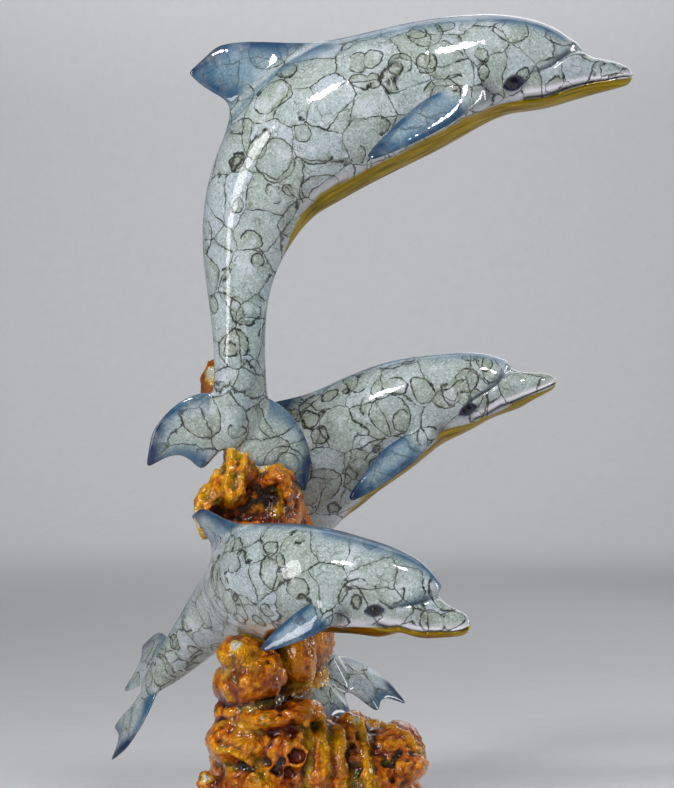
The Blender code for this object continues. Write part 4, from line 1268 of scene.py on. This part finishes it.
def amber_lacquer():
    """Tinted lacquer over rough cast copper: near black in cavities, amber on ridges, partly painted shade and
    highlight.
    """
    finish, tree, shader = new_finish("amber lacquer on cast copper")
    place = add(tree, "TexCoord", {}).node.outputs["Object"]
    ridge, shade, rim, spill = [
        add(tree, "Attribute", {}, attribute_name=name).node.outputs["Fac"]
        for name in ("ridge", "shade", "rim", "spill")
    ]
    # Cavities darker, ridges lighter, over about 5 mm: partly thick and thin lacquer, partly painted shade and
    # highlight
    uneven = noise_share(tree, place, 5 * MM, 0.3, 0.7, 4.0, -0.22, 0.22)
    lacquer_and_shade = add(tree, "Math", {0: ridge, 1: uneven}, operation="ADD")
    # Painted shade: the coral's hollows are darkened further
    lacquer_and_shade = add(tree, "Math", {0: shade, 1: -0.30, 2: lacquer_and_shade}, operation="MULTIPLY_ADD")
    low = add(tree, "MapRange", {"Value": lacquer_and_shade, 1: 0.16, 2: 0.62})
    high = add(tree, "MapRange", {"Value": lacquer_and_shade, 1: 0.60, 2: 0.92})
    red = noise_share(tree, place, 24 * MM, 0.50, 0.40, 3.0, 0.0, 0.65)
    thin = noise_share(tree, place, 30 * MM, 0.52, 0.64, 4.0, 0.0, 0.75)
    olive = noise_share(tree, place, 16 * MM, 0.56, 0.64, 5.0, 0.0, 0.8)
    broken = noise_share(tree, place, 3 * MM, 0.40, 0.55, 2.0)
    olive = add(tree, "Math", {0: olive, 1: broken}, operation="MULTIPLY")
    worn = noise_share(tree, place, 7 * MM, 0.30, 0.60, 3.0, 0.25, 1.0)
    rim = add(tree, "Math", {0: rim, 1: worn}, operation="MULTIPLY")
    # Where a dolphin meets the coral, its enamel has run onto it
    ragged = noise_share(tree, place, 4 * MM, 0.3, 0.7, 3.0, -0.32, 0.08)
    run = add(tree, "Math", {0: spill, 1: ragged}, operation="ADD")
    yellow = add(tree, "MapRange", {"Value": run, 1: 0.15, 2: 0.55, 3: 0.0, 4: 0.85})
    white = add(tree, "MapRange", {"Value": run, 1: 0.58, 2: 0.85, 3: 0.0, 4: 0.85})
    amber = layered(tree, linear("#240b01"), [
        (low, 1.0, "#c45f00"), (high, 0.85, "#e89200"), (red, 1.0, "#782600"), (thin, 1.0, "#d89600"),
        (olive, 1.0, "#4c5416"), (rim, 0.80, "#e4ae00"), (yellow, 1.0, "#dcae1c"), (white, 1.0, "#c9cfd0"),
    ])
    # The lacquer follows the rough casting, so it glitters. Real casting grain is finer than 1.5 mm and is
    # drawn that coarse, so that it shows
    grain = noise_share(tree, place, 4 * MM, 0.25, 0.75, 2.0)
    beads = add(tree, "TexVoronoi", {"Vector": place, "Scale": 1 / (3.2 * MM)}, feature="F1")
    grain = add(tree, "Math", {0: beads, 1: -0.55, 2: grain}, operation="MULTIPLY_ADD")
    finest = noise_share(tree, place, 1.5 * MM, 0.25, 0.75, 1.0, 0.0, 0.35)
    grain = add(tree, "Math", {0: grain, 1: finest}, operation="ADD")
    # The clear lacquer lies smoother than the casting, in waves of 5 mm, so that it shines in spots
    waves = noise_share(tree, place, 5 * MM, 0.25, 0.75, 1.0)
    set_inputs(tree, shader, {
        "Base Color": amber,
        "Metallic": add(tree, "Math", {0: low, 1: 0.22}, operation="MULTIPLY"),
        "Normal": add(tree, "Bump", {"Height": grain, "Distance": 1.8 * MM, "Strength": 0.85}),
        "Coat Normal": add(tree, "Bump", {"Height": waves, "Distance": 1.0 * MM, "Strength": 0.5}),
        "Roughness": 0.35,
        "Specular IOR Level": 0.10,
        "Coat Weight": 1.0,
        "Coat Roughness": 0.06,
        "Coat IOR": 1.42,
    })
    return finish


# The studio


def pale_floor():
    """Lays a pale floor that curves up into a backdrop, by drawing its far edge out along the curve."""
    deselect_all()
    bpy.ops.mesh.primitive_plane_add(size=1, location=(0, (PAPER_FRONT + CURVE_START) / 2, 0))
    floor = bpy.context.object
    floor.name = "studio_floor"
    floor.scale = (PAPER_WIDTH, CURVE_START - PAPER_FRONT, 1)
    bpy.ops.object.transform_apply(location=True, rotation=True, scale=True)
    bpy.ops.object.mode_set(mode="EDIT")
    bpy.ops.mesh.select_mode(type="EDGE")
    bpy.ops.mesh.select_all(action="DESELECT")
    shape = bmesh.from_edit_mesh(floor.data)
    for edge in shape.edges:
        edge.select_set(all(point.co.y > CURVE_START - MM for point in edge.verts))
    bmesh.update_edit_mesh(floor.data)
    profile = [(CURVE_START, 0.0)]
    for step in range(1, CURVE_STEPS + 1):
        angle = math.radians(90 * step / CURVE_STEPS)
        profile.append((CURVE_START + CURVE_RADIUS * math.sin(angle), CURVE_RADIUS * (1.0 - math.cos(angle))))
    profile.append((CURVE_START + CURVE_RADIUS, PAPER_TOP))
    for (y, z), (next_y, next_z) in zip(profile, profile[1:]):
        bpy.ops.mesh.extrude_region_move(TRANSFORM_OT_translate={"value": (0, next_y - y, next_z - z)})
    bpy.ops.object.mode_set(mode="OBJECT")
    floor.data.shade_smooth()
    # Matt paper gives no highlights of its own, only a soft shadow under the statue
    finish, tree, shader = new_finish("matt pale backdrop paper")
    place = add(tree, "TexCoord", {}).node.outputs["Object"]
    mottling = add(tree, "TexNoise", {"Vector": place, "Scale": 1 / PAPER_MOTTLING, "Detail": 2.0})
    paper = layered(tree, linear("#d3d4d6"), [(mottling, 1.0, "#dadbdd")])
    set_inputs(tree, shader, {"Base Color": paper, "Roughness": 0.9})
    floor.data.materials.append(finish)


def softbox(name, place, aim, size, power):
    """Hangs one soft oval light."""
    light = bpy.data.lights.new(name, "AREA")
    light.shape = "ELLIPSE"
    light.size, light.size_y = size
    light.energy = power
    lamp = bpy.data.objects.new(name, light)
    bpy.context.collection.objects.link(lamp)
    lamp.location = place
    lamp.rotation_euler = (Vector(aim) - Vector(place)).to_track_quat("-Z", "Y").to_euler()


def studio():
    """Sets the floor, the lights and the camera at the photograph's view."""
    pale_floor()
    for name, place, aim, size, power in LIGHTS:
        softbox(name, place, aim, size, power)
    world = bpy.data.worlds.new("studio air")
    bpy.context.scene.world = world
    world.use_nodes = True
    air = {"Color": linear("#c9cdd3"), "Strength": AIR_STRENGTH}
    set_inputs(world.node_tree, world.node_tree.nodes["Background"], air)
    lens = bpy.data.cameras.new("camera")
    camera = bpy.data.objects.new("camera", lens)
    bpy.context.collection.objects.link(camera)
    camera.location = (CAMERA_X, -CAMERA_DISTANCE, CAMERA_Z)
    camera.rotation_euler = (math.radians(90), 0, 0)
    lens.sensor_fit = "VERTICAL"
    lens.sensor_height = SENSOR
    lens.lens = SENSOR * CAMERA_DISTANCE / (PHOTO_HEIGHT * PIXEL)
    bpy.context.scene.camera = camera
    # The default transform washes out the lacquer's orange
    bpy.context.scene.view_settings.view_transform = "Standard"


enamel = crackled_enamel()
lacquer = amber_lacquer()
leaping = []
for piece_name, node, pose, marks, length, hold in (
    ("top_leaper", "top_dolphin", TOP_POSE, TOP_MARKS, TOP_LENGTH, TOP_HOLD),
    ("middle_leaper", "middle_dolphin", MIDDLE_POSE, MIDDLE_MARKS, MIDDLE_LENGTH, MIDDLE_HOLD),
    ("lower_leaper", "lower_dolphin", LOWER_POSE, LOWER_MARKS, LOWER_LENGTH, LOWER_HOLD),
):
    leaper = dolphin(piece_name, pose, marks, length, hold, enamel)
    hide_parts(node)
    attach(leaper, "root")
    leaping.append(leaper)
coral = coral_stem(leaping, lacquer)
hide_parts("coral_stem")
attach(coral, "root")
studio()
